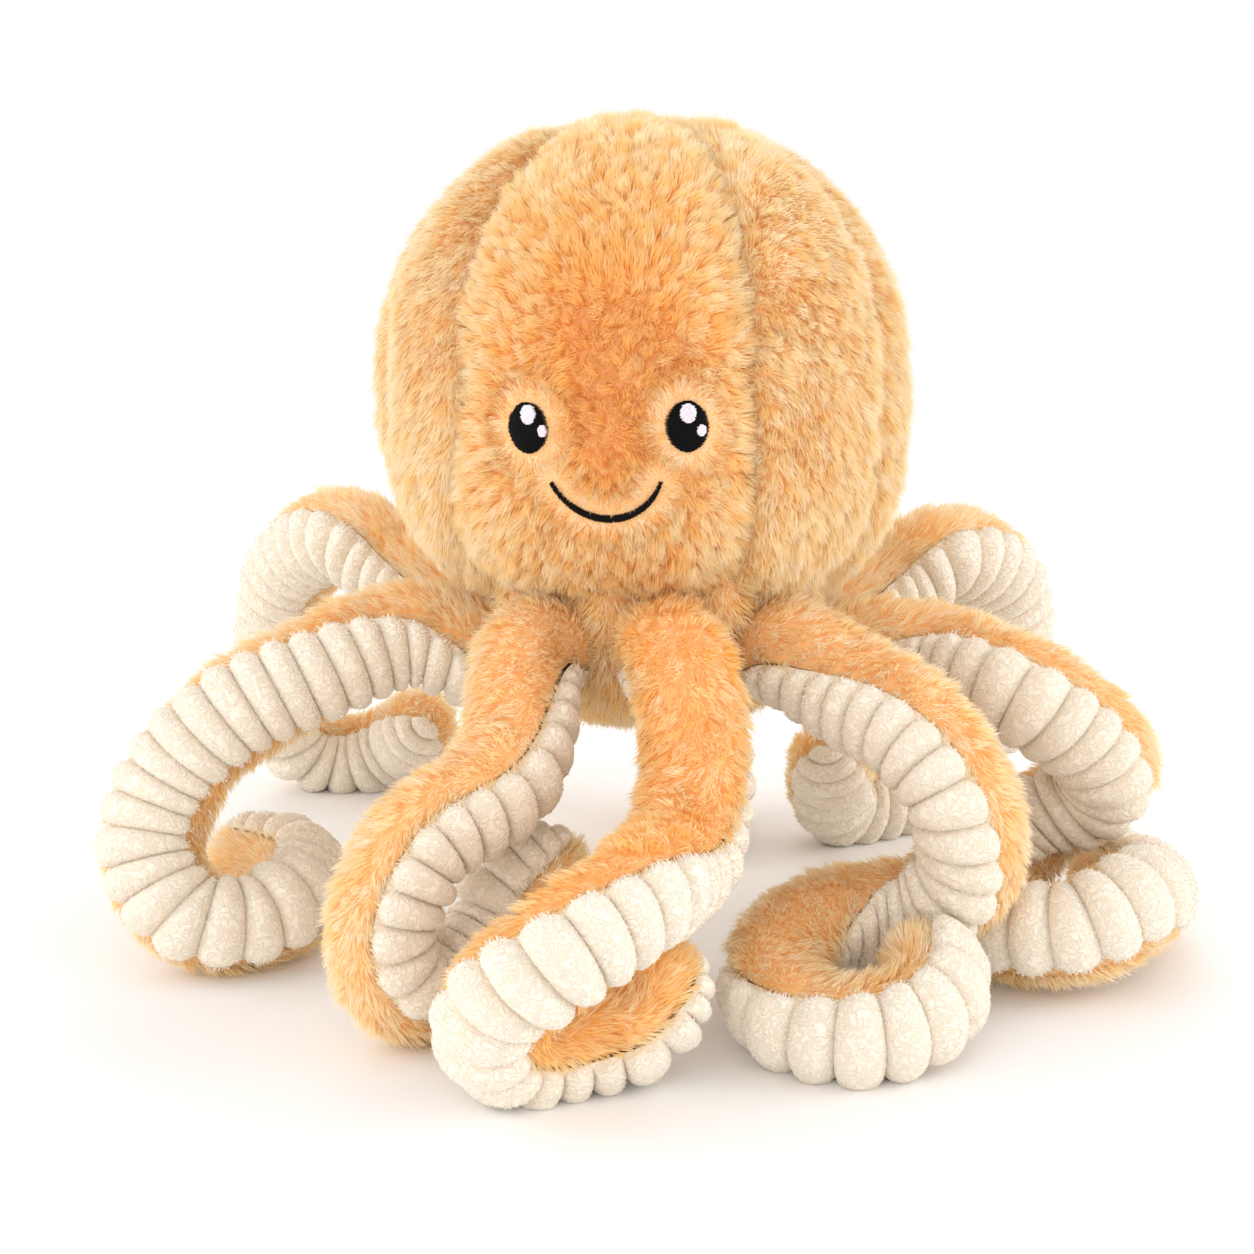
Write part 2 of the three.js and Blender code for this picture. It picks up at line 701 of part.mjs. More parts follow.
// The ribbed strip rises between its grooves, in one crest to a rib
function ribbedSheet(stations) {
  const grooves = panelSheet(stations, stripSpan, 0, -ribDip, seamDip);
  const rows = [grooves[0]];
  for (let k = 1; k < grooves.length; k += 1) {
    const station = stations[Math.min(k, stations.length - 1)];
    const crest = midRow(grooves[k - 1], grooves[k]);
    crest.forEach((point, j) => {
      const outward = point.clone().sub(midPoint(stations, k)).normalize();
      const between = Math.sin(Math.PI * stripShares[j]);
      point.addScaledVector(outward, (ribDip + ribRise) * Math.sqrt(between) * (station.radius / armRadius));
    });
    rows.push(crest, grooves[k]);
  }
  return rows;
}

function midPoint(stations, k) {
  const last = stations[stations.length - 1].middle;
  if (k >= stations.length) return last;
  return stations[k - 1].middle.clone().lerp(stations[k].middle, 0.5);
}

function armSheets(stations) {
  return {
    furOuter: panelSheet(stations, furSpan, 0, 0, seamDip),
    furInner: panelSheet(stations, furSpan, armWall, 0, 0),
    ribOuter: ribbedSheet(stations),
    ribInner: panelSheet(stations, stripSpan, armWall, 0, 0),
  };
}

function armStuffingLoops(stations) {
  const angles = [
    ...stripShares.map((share) => stripSpan.from + (stripSpan.to - stripSpan.from) * share),
    ...furShares.slice(1, -1).map((share) => furSpan.from + (furSpan.to - furSpan.from) * share),
  ];
  const loop = (station, tipAngle) =>
    angles.map((angle) => sectionPoint(station, angle, station.radius - armWall - layGap, tipAngle));
  const loops = stations.map((station) => loop(station, 0));
  const last = stations[stations.length - 1];
  tipAngles.forEach((angle) => loops.push(loop(last, rad(angle))));
  return loops;
}

function lowestOf(sheets) {
  const heights = [...sheets.furOuter, ...sheets.ribOuter].flat().map((point) => point.z);
  return Math.min(...heights);
}

// The arm is drawn down or up until its lowest point presses into the floor
function seatedStations(name, turn) {
  let drawn = 1;
  let stations = armStations(armControls(name, turn, drawn));
  for (let pass = 0; pass < 6; pass += 1) {
    const rootHeight = stations[0].middle.z;
    const lowest = lowestOf(armSheets(stations));
    drawn *= (rootHeight + floorPress) / (rootHeight - lowest);
    stations = armStations(armControls(name, turn, drawn));
  }
  return stations;
}

function addArm(name, turn) {
  const stations = seatedStations(name, turn);
  const sheets = armSheets(stations);
  const fur = pressedFlat(panelSolid(sheets.furOuter, sheets.furInner));
  const ribbed = pressedFlat(panelSolid(sheets.ribOuter, sheets.ribInner));
  addPiece(`arm_${name}_fur_panel`, fur, furCloth);
  addPiece(`arm_${name}_ribbed_panel`, ribbed, ribCloth);
  addPiece(`arm_${name}_stuffing`, loopSolid(armStuffingLoops(stations)), stuffingFibre);
}

addGores();
addHeadStuffing();
addBasePanel();
addEyes();
addMouth();
Object.keys(armPathShares).forEach((name, i) => {
  addArm(name, firstArmTurn + (i * 360) / armCount);
});

// The object stands with the middle of its outline over the origin
const outline = new THREE.Box3().setFromObject(pieces);
const outlineMiddle = outline.getCenter(new THREE.Vector3());
pieces.position.set(-outlineMiddle.x, -outlineMiddle.y, -outline.min.z);

export default octopus;
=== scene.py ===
"""Plush octopus: fur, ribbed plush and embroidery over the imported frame.

Sizes are in millimetres until a mesh is made; Blender's own units are metres.
"""

import itertools
import json
import math

import bpy
import numpy as np
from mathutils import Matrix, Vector


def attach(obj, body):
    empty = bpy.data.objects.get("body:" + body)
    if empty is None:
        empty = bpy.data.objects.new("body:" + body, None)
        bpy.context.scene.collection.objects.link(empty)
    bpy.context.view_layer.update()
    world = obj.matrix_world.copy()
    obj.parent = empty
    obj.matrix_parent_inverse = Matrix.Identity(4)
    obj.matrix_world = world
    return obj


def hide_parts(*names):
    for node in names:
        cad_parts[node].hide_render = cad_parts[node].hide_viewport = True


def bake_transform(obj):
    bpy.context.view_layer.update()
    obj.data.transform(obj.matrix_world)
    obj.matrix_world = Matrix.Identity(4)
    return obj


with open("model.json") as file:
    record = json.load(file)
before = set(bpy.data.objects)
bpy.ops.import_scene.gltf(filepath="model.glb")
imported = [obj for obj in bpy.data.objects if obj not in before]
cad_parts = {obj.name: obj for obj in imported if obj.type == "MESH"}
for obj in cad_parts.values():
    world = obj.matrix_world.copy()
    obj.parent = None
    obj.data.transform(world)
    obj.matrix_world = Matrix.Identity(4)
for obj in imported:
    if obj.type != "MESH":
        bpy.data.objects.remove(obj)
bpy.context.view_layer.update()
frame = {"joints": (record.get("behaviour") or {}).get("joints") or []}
collection = bpy.context.scene.collection

MM = 0.001

# Head, along its own axis from the neck seam
HEAD_RADIUS = 98.5
CROWN_HEIGHT = 99.0
CHEEK_HEIGHT = 86.0
CHEEK_FULLNESS = 45.0
JAW_RADIUS = 90.0
JAW_RISE = 17.0
HEAD_SWAY = 5.4
GORE_BULGE = 2.4
SEAM_DEPTH = 3.5
SEAM_WIDTH = 4.0
SEAM_TURNS = [
    (-43, -63.5), (24.3, 26.5), (67, 71.5), (121, 116.5),
    (174, 161.5), (227, 206.5), (280, 251.5), (317, 296.5),
]
GORES = ["face", "front_right", "right", "rear_right", "rear", "rear_left", "left"]

# Face, in degrees round the head and millimetres on it
FACE_TURN = -7.75
EYE_TURN = 16.7
EYE_LEVEL = 60.0
EYE_SIZE = (15.6, 17.6)
LARGE_GLINT = (0.0, 4.5, 6.2, 6.6)
SMALL_GLINT = (4.6, -1.2, 3.4, 3.9)
LEFT_GLINT_SHIFT = 1.5
MOUTH_LEVEL = 41.0
MOUTH_WIDTH = 38.5
MOUTH_SAG = 12.5
MOUTH_SHIFT = -1.8
MOUTH_PITCH = 0.36
MOUTH_LINE = 2.2
MOUTH_HALF = 2 * math.atan2(2 * MOUTH_SAG, MOUTH_WIDTH)
MOUTH_RADIUS = MOUTH_WIDTH / 2 / math.sin(MOUTH_HALF)

# Stitches: their distance, their raggedness at the ends, and how high they lie over the cloth
EYE_PITCH = 0.4
EYE_BASE = 0.3
EYE_DOME = 1.5
GLINT_PITCH = 0.42
GLINT_DOME = 0.25
RAGGED = 0.35
THREAD_SIDES = 6
THREAD_FATNESS = 0.62
MOUTH_THREAD = 0.26

# Arms, in millimetres; angles in radians where they are converted and in degrees elsewhere
ARM_ORDER = ["front", "front_right", "right", "rear_right", "rear", "rear_left", "left", "front_left"]
ARM_RADIUS = 20.0
TIP_RADIUS = 18.0
RIB_PITCH = 10.5
ROOT_DROP = 5.0
ROOT_LEAD = 10.0
FIRST_TURN = 4.0
STRIP_HALF = math.radians(68)
TIP_STEP = math.radians(28.6)
TIP_RIBS = 3
TWIST_PASSES = 24
RIB_GROOVE = 2.4
RIB_FULLNESS = 0.5
WIDEST_ROLL = 13.0
ROOT_DOME = 7.0
BEND_LENGTH = 22.0

# Hub: its depth under the neck and its rise into the head, its wall's inset at the top and the bottom, how far it
# fills the gaps between the arms, and the base panel's bulge
HUB_DEPTH = ARM_RADIUS * 2
HUB_RISE = 6.0
HUB_TOP_INSET = 3.4
HUB_LOW_INSET = 25.0
HUB_WEB = 9.0
BASE_BULGE = 3.5

# Meshes of the cloths: rows and columns of points
HEAD_ROWS = 90
FACE_COLUMNS = 61
GORE_COLUMNS = 37
FUR_ROWS_PER_RIB = 3
FUR_COLUMNS = 34
RIB_ROWS = 10
RIB_COLUMNS = 33
ROOT_ROWS = 5
HUB_ROWS = 24
HUB_COLUMNS = 97

# Filling: how the cloth is simulated, and how far it may move out
CLOTH_FRAMES = 20
CLOTH_PRESSURE = 3.0
CLOTH_GROWTH = 0.03
HEAD_PUFF = 2.2
ARM_PUFF = 2.0
TIP_ROWS_HELD = 9

# Pile: its length, how far the backing lies under the outline to make room for it, and its fall
PILE = 8.0
SKIN = 4.0
FACE_CLEARING = 9.0
FAR = 99.0
SWIRL_SIZE = 18.0
SWIRL = 0.45
TUFT_LEAN = 0.9
STRAY = 0.2
LOWER_FALL = 0.45
UPPER_FALL = 1.3
ROOT_DEPTH = 0.3
ABOVE_FLOOR = 0.4
SEEN_GORES = ("face", "front_right", "right", "left")

# Painted shade and light on the pile: the painted shade in the middle of the face and on the arms, where a value
# below zero is painted light instead, and the painted light on the head's sides
FACE_PAINTED_SHADE = 0.68
SIDES_PAINTED_LIGHT = 0.06
ARM_PAINTED_SHADES = {"front": 0.22}
OTHER_ARM_PAINTED_SHADE = -0.1

# Camera, as fitted to the photograph: its place from the floor under the neck, its pitch and its lens
CAMERA_PLACE = (-10.6, -1000.0, 350.0)
CAMERA_PITCH = 12.8
FILM_WIDTH = 36.0
LENS = FILM_WIDTH * 2640 / 1254

# Lamps: place and size in metres, and power
LAMPS = {
    "key": ((-0.4, -2.15, 0.6), 1.8, 14.5),
    "left": ((-2.2, -0.2, 0.8), 2.0, 20),
    "right": ((2.2, -0.2, 0.8), 2.0, 24),
    "rear": ((0.0, 2.2, 1.2), 2.0, 12),
}

# Paths of the arms after they leave the neck: places from the floor under the neck, and the way the ribbed
# strip faces there
ARM_PATHS = {
    "front": [
        (10, -90, 122, 0, 0.95, -0.4), (12, -112, 96.1, 0.1, 0.95, -0.3), (6, -138, 76.1, 0.75, 0.5, -0.4),
        (-12, -178, 72.2, 0.7, -0.55, -0.4), (-34, -194, 60.2, 0.15, -0.95, -0.2),
        (-52, -190, 42.2, -0.5, -0.85, 0), (-52, -180, 26.3, -0.85, -0.5, -0.1),
        (-42, -170, 18.3, -0.5, -0.4, -0.8), (-18, -162, 20.3, 0.1, 0, -1), (-8, -160, 24.3, 0.6, 0, -0.8),
        (0, -156, 32.3, 0.95, 0, -0.1),
    ],
    "front_right": [
        (70, -62, 115.8, -0.3, -0.85, -0.4), (96, -86, 101.4, -0.45, -0.85, -0.25),
        (110, -96, 80.7, -0.65, -0.75, 0), (112, -90, 53.9, -0.75, -0.65, 0.2),
        (98, -80, 37.4, -0.5, -0.8, 0.2), (78, -78, 33.3, -0.15, -0.95, 0.1), (56, -90, 31.3, -0.1, -0.6, -0.8),
        (44, -110, 25.1, -0.5, -0.3, -0.9), (48, -140, 18.9, -0.6, -0.75, -0.1), (66, -150, 16.8, 0, -1, 0.35),
        (84, -146, 18.9, 0.5, -0.85, 0.35), (94, -134, 23, 0.95, -0.2, 0.3), (96, -120, 27.1, 0.5, 0.8, 0.3),
    ],
    "right": [
        (106, -4, 114, 0, -0.9, -0.3), (142, -28, 103.9, 0, -0.95, -0.15), (172, -20, 77.6, 0.1, -1, 0),
        (172, -8, 61.4, -0.1, -1, 0.15), (150, 0, 41.1, -0.55, -0.85, 0.1), (134, -14, 20.9, -0.9, -0.4, 0.2),
        (134, -64, 20.9, -0.5, -0.85, 0.6), (154, -76, 24.9, 0.1, -1, 0.8), (174, -68, 31, 0.8, -0.5, 0.8),
        (190, -10, 18.9, 0.8, 0.6, 0.6), (184, 12, 16.8, 0, 1, 0.5),
    ],
    "rear_right": [
        (100, 90, 120.8, 0.1, -0.85, -0.5), (124, 102, 131.4, 0.2, -0.85, -0.4),
        (148, 124, 116.6, 0.5, -0.8, -0.1), (156, 142, 80.5, 0.65, -0.75, 0),
        (150, 148, 50.9, 0.45, -0.85, 0.1), (130, 144, 25.4, 0.1, -0.95, 0.1),
        (102, 130, 16.9, -0.2, -0.95, 0.2), (82, 114, 21.2, -0.4, -0.9, 0.2), (76, 88, 44.5, -0.4, -0.9, 0.2),
    ],
    "rear": [
        (-2, 88, 99.9, 0.3, 0, -1), (-2, 118, 89.8, 0.6, 0, -0.8), (4, 152, 67.5, 0.9, 0, -0.4),
        (12, 160, 43.1, 1, 0, 0), (16, 146, 22.8, 1, 0, 0.1), (16, 116, 16.7, 0.9, 0, 0.3),
        (12, 92, 18.7, 0.9, 0, 0.3),
    ],
    "rear_left": [
        (-106, 92, 126.7, -0.2, -0.8, -0.5), (-130, 112, 137.1, -0.3, -0.85, -0.4),
        (-154, 142, 120.5, -0.6, -0.75, -0.1), (-166, 166, 87.2, -0.75, -0.6, 0),
        (-170, 184, 54, -0.7, -0.7, 0), (-162, 198, 24.9, -0.4, -0.9, 0), (-142, 202, 16.6, 0, -1, 0.1),
        (-118, 194, 24.9, 0.2, -0.95, 0.2), (-106, 170, 37.4, 0.3, -0.95, 0.2),
    ],
    "left": [
        (-96, -10, 122, 0, -0.95, -0.2), (-132, -22, 110, 0, -1, -0.05), (-164, -30, 92, -0.1, -1, 0.1),
        (-184, -34, 68, -0.5, -0.85, 0.35), (-190, -42, 44, -0.8, -0.6, 0.6), (-178, -50, 23.9, -0.6, -0.8, 1),
        (-160, -48, 17.9, 0, -0.8, 1), (-144, -34, 19.9, 0.8, -0.5, 1), (-144, 2, 21.9, 0.75, 0.6, 0.8),
        (-162, 20, 21.9, -0.1, 1, 0.6),
    ],
    "front_left": [
        (-48, -64, 122, 0.75, 0.1, -0.6), (-56, -100, 93.6, 0.85, -0.3, -0.4),
        (-84, -124, 73.4, 0.85, -0.5, -0.2), (-96, -132, 45.1, 0.85, -0.5, -0.1),
        (-92, -128, 26.9, 0.7, -0.7, 0), (-80, -116, 16.8, 0.1, -0.95, 0.1), (-60, -98, 26.9, -0.9, -0.2, 0.3),
        (-50, -90, 43.1, -1, 0.2, 0.3), (-42, -88, 51.2, -1, 0.2, 0.3),
    ],
}


# Steady noise

PRIMES = np.array([73856093, 19349663, 83492791, 2971215073], np.uint64)


def hashed(*cells, seed=0):
    """A fixed number from 0 to 1 for every set of whole-numbered cells."""
    mix = np.zeros(np.broadcast(*cells).shape, np.uint64) + np.uint64(seed * 7919 + 97)
    for prime, cell in zip(PRIMES, cells):
        mix ^= (cell.astype(np.int64) & 0xFFFFFFFF).astype(np.uint64) * prime
        mix = (mix ^ (mix >> np.uint64(29))) * np.uint64(0xBF58476D1CE4E5B9)
    return ((mix >> np.uint64(24)) & np.uint64(0xFFFFFF)).astype(float) / 0xFFFFFF


def noise(points, size, seed=0):
    """Smooth noise from -1 to 1 whose lumps are of a size in millimetres."""
    scaled = points / size
    base = np.floor(scaled)
    part = scaled - base
    part = part * part * (3 - 2 * part)
    total = 0
    for corner in itertools.product((0, 1), repeat=3):
        weight = 1
        for axis, step in enumerate(corner):
            weight = weight * (part[..., axis] if step else 1 - part[..., axis])
        cells = [base[..., axis] + step for axis, step in enumerate(corner)]
        total = total + weight * hashed(*cells, seed=seed)
    return total * 2 - 1


def unit(vectors):
    return vectors / np.maximum(np.linalg.norm(vectors, axis=-1, keepdims=True), 1e-9)


def smooth(value, low, high):
    """0 up to the low value, 1 from the high one on, and an even rise between them."""
    share = np.clip((value - low) / (high - low), 0, 1)
    return share * share * (3 - 2 * share)


# The neck's place and lean come from the hinges

hinge = {j["child"][len("arm_"):]: np.array(j["pos_m"]) / MM for j in frame["joints"]}
NECK = np.mean(list(hinge.values()), axis=0)
NECK_RIGHT = np.array([1.0, 0.0, 0.0])
NECK_RADIUS = np.linalg.norm(hinge["front"] - NECK)
to_front = unit(hinge["front"] - NECK)
to_right = unit(hinge["right"] - NECK)
NECK_UP = unit(np.cross(to_front, to_right))
NECK_BACK = np.cross(NECK_UP, NECK_RIGHT)


def from_neck(x, y, z):
    """Points in the room from places along the neck's own axes: right, back and up."""
    x, y, z = np.broadcast_arrays(x, y, z)
    return NECK + x[..., None] * NECK_RIGHT + y[..., None] * NECK_BACK + z[..., None] * NECK_UP


def radial(turn):
    """The direction at a turn round the neck, in degrees, as its shares to the right and to the back."""
    angle = np.radians(turn)
    return np.sin(angle), -np.cos(angle)


# Meshes

def new_mesh(name, points, quads=(), triangles=()):
    """A mesh object from points in millimetres, four-cornered faces and three-cornered faces."""
    quads = np.asarray(quads, np.int32).reshape(-1, 4)
    triangles = np.asarray(triangles, np.int32).reshape(-1, 3)
    mesh = bpy.data.meshes.new(name)
    points = np.asarray(points, np.float32).reshape(-1, 3) * MM
    mesh.vertices.add(len(points))
    mesh.vertices.foreach_set("co", points.ravel())
    corners = np.concatenate([quads.ravel(), triangles.ravel()])
    sizes = np.concatenate([np.full(len(quads), 4), np.full(len(triangles), 3)]).astype(np.int32)
    starts = np.concatenate([[0], np.cumsum(sizes)[:-1]]).astype(np.int32)
    mesh.loops.add(len(corners))
    mesh.loops.foreach_set("vertex_index", corners.astype(np.int32))
    mesh.polygons.add(len(sizes))
    mesh.polygons.foreach_set("loop_start", starts)
    mesh.polygons.foreach_set("loop_total", sizes)
    mesh.polygons.foreach_set("use_smooth", np.ones(len(sizes), bool))
    mesh.update(calc_edges=True)
    piece = bpy.data.objects.new(name, mesh)
    collection.objects.link(piece)
    return piece


def add_attribute(piece, name, values):
    attribute = piece.data.attributes.new(name, "FLOAT", "POINT")
    attribute.data.foreach_set("value", np.asarray(values, np.float32).ravel())


def add_map(piece, places):
    """The map that patterns are baked through, one place in the unit square for every point."""
    layer = piece.data.uv_layers.new(name="OFBake")
    corners = np.zeros(len(piece.data.loops), np.int32)
    piece.data.loops.foreach_get("vertex_index", corners)
    layer.uv.foreach_set("vector", places.reshape(-1, 2)[corners].astype(np.float32).ravel())


def grid_quads(rows, columns, flip=False):
    index = np.arange(rows * columns).reshape(rows, columns)
    quads = np.stack([index[:-1, :-1], index[:-1, 1:], index[1:, 1:], index[1:, :-1]], -1).reshape(-1, 4)
    return quads[:, ::-1] if flip else quads


class Sheet:
    """A cloth surface as a grid of points, rows along it and columns across it."""

    def __init__(self, points, flip=False, **fields):
        self.flip = flip
        self.fields = fields
        self.moved_to(points)

    def moved_to(self, points):
        """Takes new points, and finds the directions and the lengths on the cloth again."""
        self.points = points
        self.tangent = unit(np.gradient(points, axis=0))
        self.across = unit(np.gradient(points, axis=1))
        self.normal = unit(np.cross(self.across, self.tangent)) * (-1 if self.flip else 1)
        steps_down = np.linalg.norm(np.diff(points, axis=0), axis=-1).mean(1)
        self.down_mm = np.concatenate([[0], np.cumsum(steps_down)])[:, None] + np.zeros(points.shape[:2])
        steps_over = np.linalg.norm(np.diff(points, axis=1), axis=-1)
        over = np.concatenate([np.zeros((len(points), 1)), np.cumsum(steps_over, axis=1)], axis=1)
        self.over_mm = over - over[:, -1:] / 2

    def piece(self, name):
        """The sheet as a mesh object, with its rows and columns as its bake map."""
        rows, columns = self.points.shape[:2]
        piece = new_mesh(name, self.points, grid_quads(rows, columns, self.flip))
        down = self.down_mm / self.down_mm.max()
        over = (np.arange(columns) / (columns - 1))[None, :] + np.zeros((rows, 1))
        add_map(piece, np.stack([over, down], -1))
        return piece

    def scatter(self, spacing, random, wanted=None):
        """Seeds spread evenly over the sheet: every value of the sheet at each seed, in order along it."""
        p = self.points
        area = np.linalg.norm(np.cross(p[1:, 1:] - p[:-1, :-1], p[1:, :-1] - p[:-1, 1:]), axis=-1) / 2
        if wanted is not None:
            area = area * wanted[:-1, :-1]
        total = area.sum()
        count = int(total / spacing ** 2)
        at = (np.arange(count) + random.random(count)) / count * total
        cell = np.minimum(np.searchsorted(np.cumsum(area), at), area.size - 1)
        row, column = np.divmod(cell, area.shape[1])
        s, t = random.random(count), random.random(count)
        seeds = {}
        values = dict(self.fields, points=p, tangent=self.tangent, across=self.across, normal=self.normal,
                      down_mm=self.down_mm, over_mm=self.over_mm)
        for key, grid in values.items():
            shape = (-1,) + (1,) * (grid.ndim - 2)
            a, b = s.reshape(shape), t.reshape(shape)
            seeds[key] = (grid[row, column] * (1 - a) * (1 - b) + grid[row + 1, column] * a * (1 - b)
                          + grid[row, column + 1] * (1 - a) * b + grid[row + 1, column + 1] * a * b)
        return seeds


# Filling

def pressed_out(sheet, pinned, most):
    """The sheet's points after the filling has pressed the cloth out: simulated, held where it is pinned."""
    rows, columns = sheet.points.shape[:2]
    cloth = new_mesh("cloth", sheet.points, grid_quads(rows, columns, sheet.flip))
    seams = cloth.vertex_groups.new(name="seams")
    for index, weight in enumerate(pinned.ravel()):
        if weight > 0:
            seams.add([index], float(weight), "REPLACE")
    modifier = cloth.modifiers.new("filling", "CLOTH")
    settings = modifier.settings
    settings.quality = 4
    settings.vertex_group_mass = "seams"
    settings.effector_weights.gravity = 0
    settings.use_pressure = True
    settings.uniform_pressure_force = CLOTH_PRESSURE
    settings.shrink_min = -CLOTH_GROWTH
    modifier.collision_settings.use_collision = False
    modifier.point_cache.frame_end = CLOTH_FRAMES
    for number in range(1, CLOTH_FRAMES + 1):
        bpy.context.scene.frame_set(number)
    mesh = cloth.evaluated_get(bpy.context.evaluated_depsgraph_get()).data
    places = np.zeros(rows * columns * 3, np.float32)
    mesh.vertices.foreach_get("co", places)
    bpy.context.scene.frame_set(1)
    bpy.data.objects.remove(cloth)
    moved = places.reshape(sheet.points.shape) / MM - sheet.points
    length = np.linalg.norm(moved, axis=-1, keepdims=True)
    return sheet.points + moved * np.minimum(1, most / np.maximum(length, 1e-6))


# Pile

def tufts(seeds, size, seed):
    """The tuft that each seed belongs to: its offset to the tuft's middle and the tuft's own numbers."""
    down, over = seeds["down_mm"] / size, seeds["over_mm"] / size
    row, column = np.floor(down), np.floor(over)
    best = np.full(len(down), np.inf)
    offset = np.zeros((len(down), 2))
    cells = np.zeros((len(down), 2))
    for i, j in itertools.product((-1, 0, 1), repeat=2):
        a, b = row + i, column + j
        middle = np.stack([a + hashed(a, b, seed=seed), b + hashed(a, b, seed=seed + 1)], -1)
        apart = middle - np.stack([down, over], -1)
        distance = (apart ** 2).sum(-1)
        nearer = distance < best
        best[nearer] = distance[nearer]
        offset[nearer] = apart[nearer] * size
        cells[nearer] = np.stack([a, b], -1)[nearer]
    return offset, [hashed(cells[:, 0], cells[:, 1], seed=seed + k) for k in (2, 3, 4, 6)]


def strands(name, seeds, comb, length, random, width, tuft_size, seed, gather=0.5, wild=1.0):
    """Leaf-shaped strands of pile from seeds.

    comb is the slope of the pile (down, across) at every seed, gather draws a tuft's strands to its middle,
    and wild is how far swirls and tufts leave the comb.
    """
    count = len(length)
    offset, (lean_down, lean_over, own_reach, own_tone) = tufts(seeds, tuft_size, seed)
    normal, tangent = seeds["normal"], seeds["tangent"]
    across = unit(seeds["across"] - (seeds["across"] * tangent).sum(-1, keepdims=True) * tangent)
    reach = length * (0.8 + 0.35 * own_reach) * random.uniform(0.75, 1.1, count)
    broad = np.stack([noise(seeds["points"], SWIRL_SIZE, seed), noise(seeds["points"], SWIRL_SIZE, seed + 1)], -1)
    own_lean = np.stack([lean_down, lean_over], -1) - 0.5
    slope = comb + np.reshape(wild, (-1, 1)) * (broad * SWIRL + own_lean * TUFT_LEAN)
    slope = slope + random.normal(0, STRAY, (count, 2)) + offset * (gather / reach)[:, None]
    leaning = slope[:, :1] * tangent + slope[:, 1:] * across
    root = seeds["points"] - normal * ROOT_DEPTH
    middle = root + unit(normal + LOWER_FALL * leaning) * reach[:, None] * 0.5
    tip = middle + unit(normal + UPPER_FALL * leaning) * reach[:, None] * 0.5
    for places in (root, middle, tip):
        places[:, 2] = np.maximum(places[:, 2], ABOVE_FLOOR)
    way = unit(tip - root)
    flat = unit(np.cross(way, normal + 0.3 * tangent))
    twist = random.uniform(-0.6, 0.6, count)[:, None]
    edge = flat * np.cos(twist) + np.cross(flat, way) * np.sin(twist)
    half = edge * (width * random.uniform(0.7, 1.25, count))[:, None] / 2
    points = np.stack([root, middle - half, middle + half, tip], 1)
    first = np.arange(count)[:, None] * 4
    piece = new_mesh(name, points, triangles=np.stack([first + [0, 2, 1], first + [1, 2, 3]], 1))
    # Along sets the painted shade at the root and the painted light at the tip; short strands start partway along,
    # so they get less of the root's painted shade.
    short = np.clip(1 - length / PILE, 0, 0.7)[:, None]
    add_attribute(piece, "along", short + (1 - short) * np.array([[0, 0.5, 0.5, 1.0]]))
    # The tone varies from tuft to tuft and at random; the painted shade and light of the face, the head's sides and
    # the arms are taken off it.
    tone_and_shade = 0.06 + own_tone * 0.53 + random.random(count) * 0.35 - seeds.get("deeper", 0)
    add_attribute(piece, "tone_and_shade", np.repeat(tone_and_shade, 4))
    add_map(piece, strand_cells(count))
    return piece


def strand_cells(count):
    """A small cell of the bake map for every strand, in a grid in the order of the strands."""
    side = math.ceil(math.sqrt(count))
    order = np.arange(count)
    row, column = order // side, order % side
    column = np.where(row % 2 == 0, column, side - 1 - column)
    corner = np.stack([column, row], -1)[:, None, :]
    inside = np.array([[.5, .1], [.15, .5], [.85, .5], [.5, .95]])
    return (corner + inside[None]) / side


# Materials

def srgb(text):
    """A colour as Blender takes it, from its written form."""
    values = [int(text[i:i + 2], 16) / 255 for i in (0, 2, 4)]
    return [v / 12.92 if v <= 0.04045 else ((v + 0.055) / 1.055) ** 2.4 for v in values] + [1.0]


class Nodes:
    """Short calls for one node tree."""

    def __init__(self, tree):
        self.tree = tree

    def add(self, kind, **settings):
        """A new node; settings that begin with in_ go to its inputs."""
        node = self.tree.nodes.new(kind)
        for key, value in settings.items():
            if key.startswith("in_"):
                node.inputs[key[3:].replace("_", " ")].default_value = value
            else:
                setattr(node, key, value)
        return node

    def link(self, output, target):
        self.tree.links.new(output, target)

    def feed(self, value, socket):
        """Links an output to the socket, or writes a plain value into it."""
        if isinstance(value, bpy.types.NodeSocket):
            self.link(value, socket)
        else:
            socket.default_value = value

    def attribute(self, name):
        return self.add("ShaderNodeAttribute", attribute_name=name).outputs["Fac"]

    def noise(self, scale, **settings):
        """Noise that is fixed to the object, at a scale in lumps to the metre."""
        texture = self.add("ShaderNodeTexNoise", **settings)
        self.feed(scale, texture.inputs["Scale"])
        self.link(self.add("ShaderNodeTexCoord").outputs["Object"], texture.inputs["Vector"])
        return texture.outputs["Fac"]

    def spread(self, value, low, high):
        """0 up to the low value and 1 from the high one on."""
        node = self.add("ShaderNodeMapRange", in_From_Min=low, in_From_Max=high)
        self.link(value, node.inputs["Value"])
        return node.outputs["Result"]

    def mix(self, share, first, second):
        node = self.add("ShaderNodeMix", data_type="RGBA")
        for value, socket in ((share, node.inputs[0]), (first, node.inputs[6]), (second, node.inputs[7])):
            self.feed(value, socket)
        return node.outputs[2]

    def math(self, operation, first, second):
        node = self.add("ShaderNodeMath", operation=operation)
        for value, socket in zip((first, second), node.inputs):
            self.feed(value, socket)
        return node.outputs[0]

    def shaders(self, share, first, second):
        """A mix of two shader nodes."""
        both = self.add("ShaderNodeMixShader")
        self.feed(share, both.inputs["Fac"])
        self.link(first.outputs[0], both.inputs[1])
        self.link(second.outputs[0], both.inputs[2])
        return both.outputs[0]


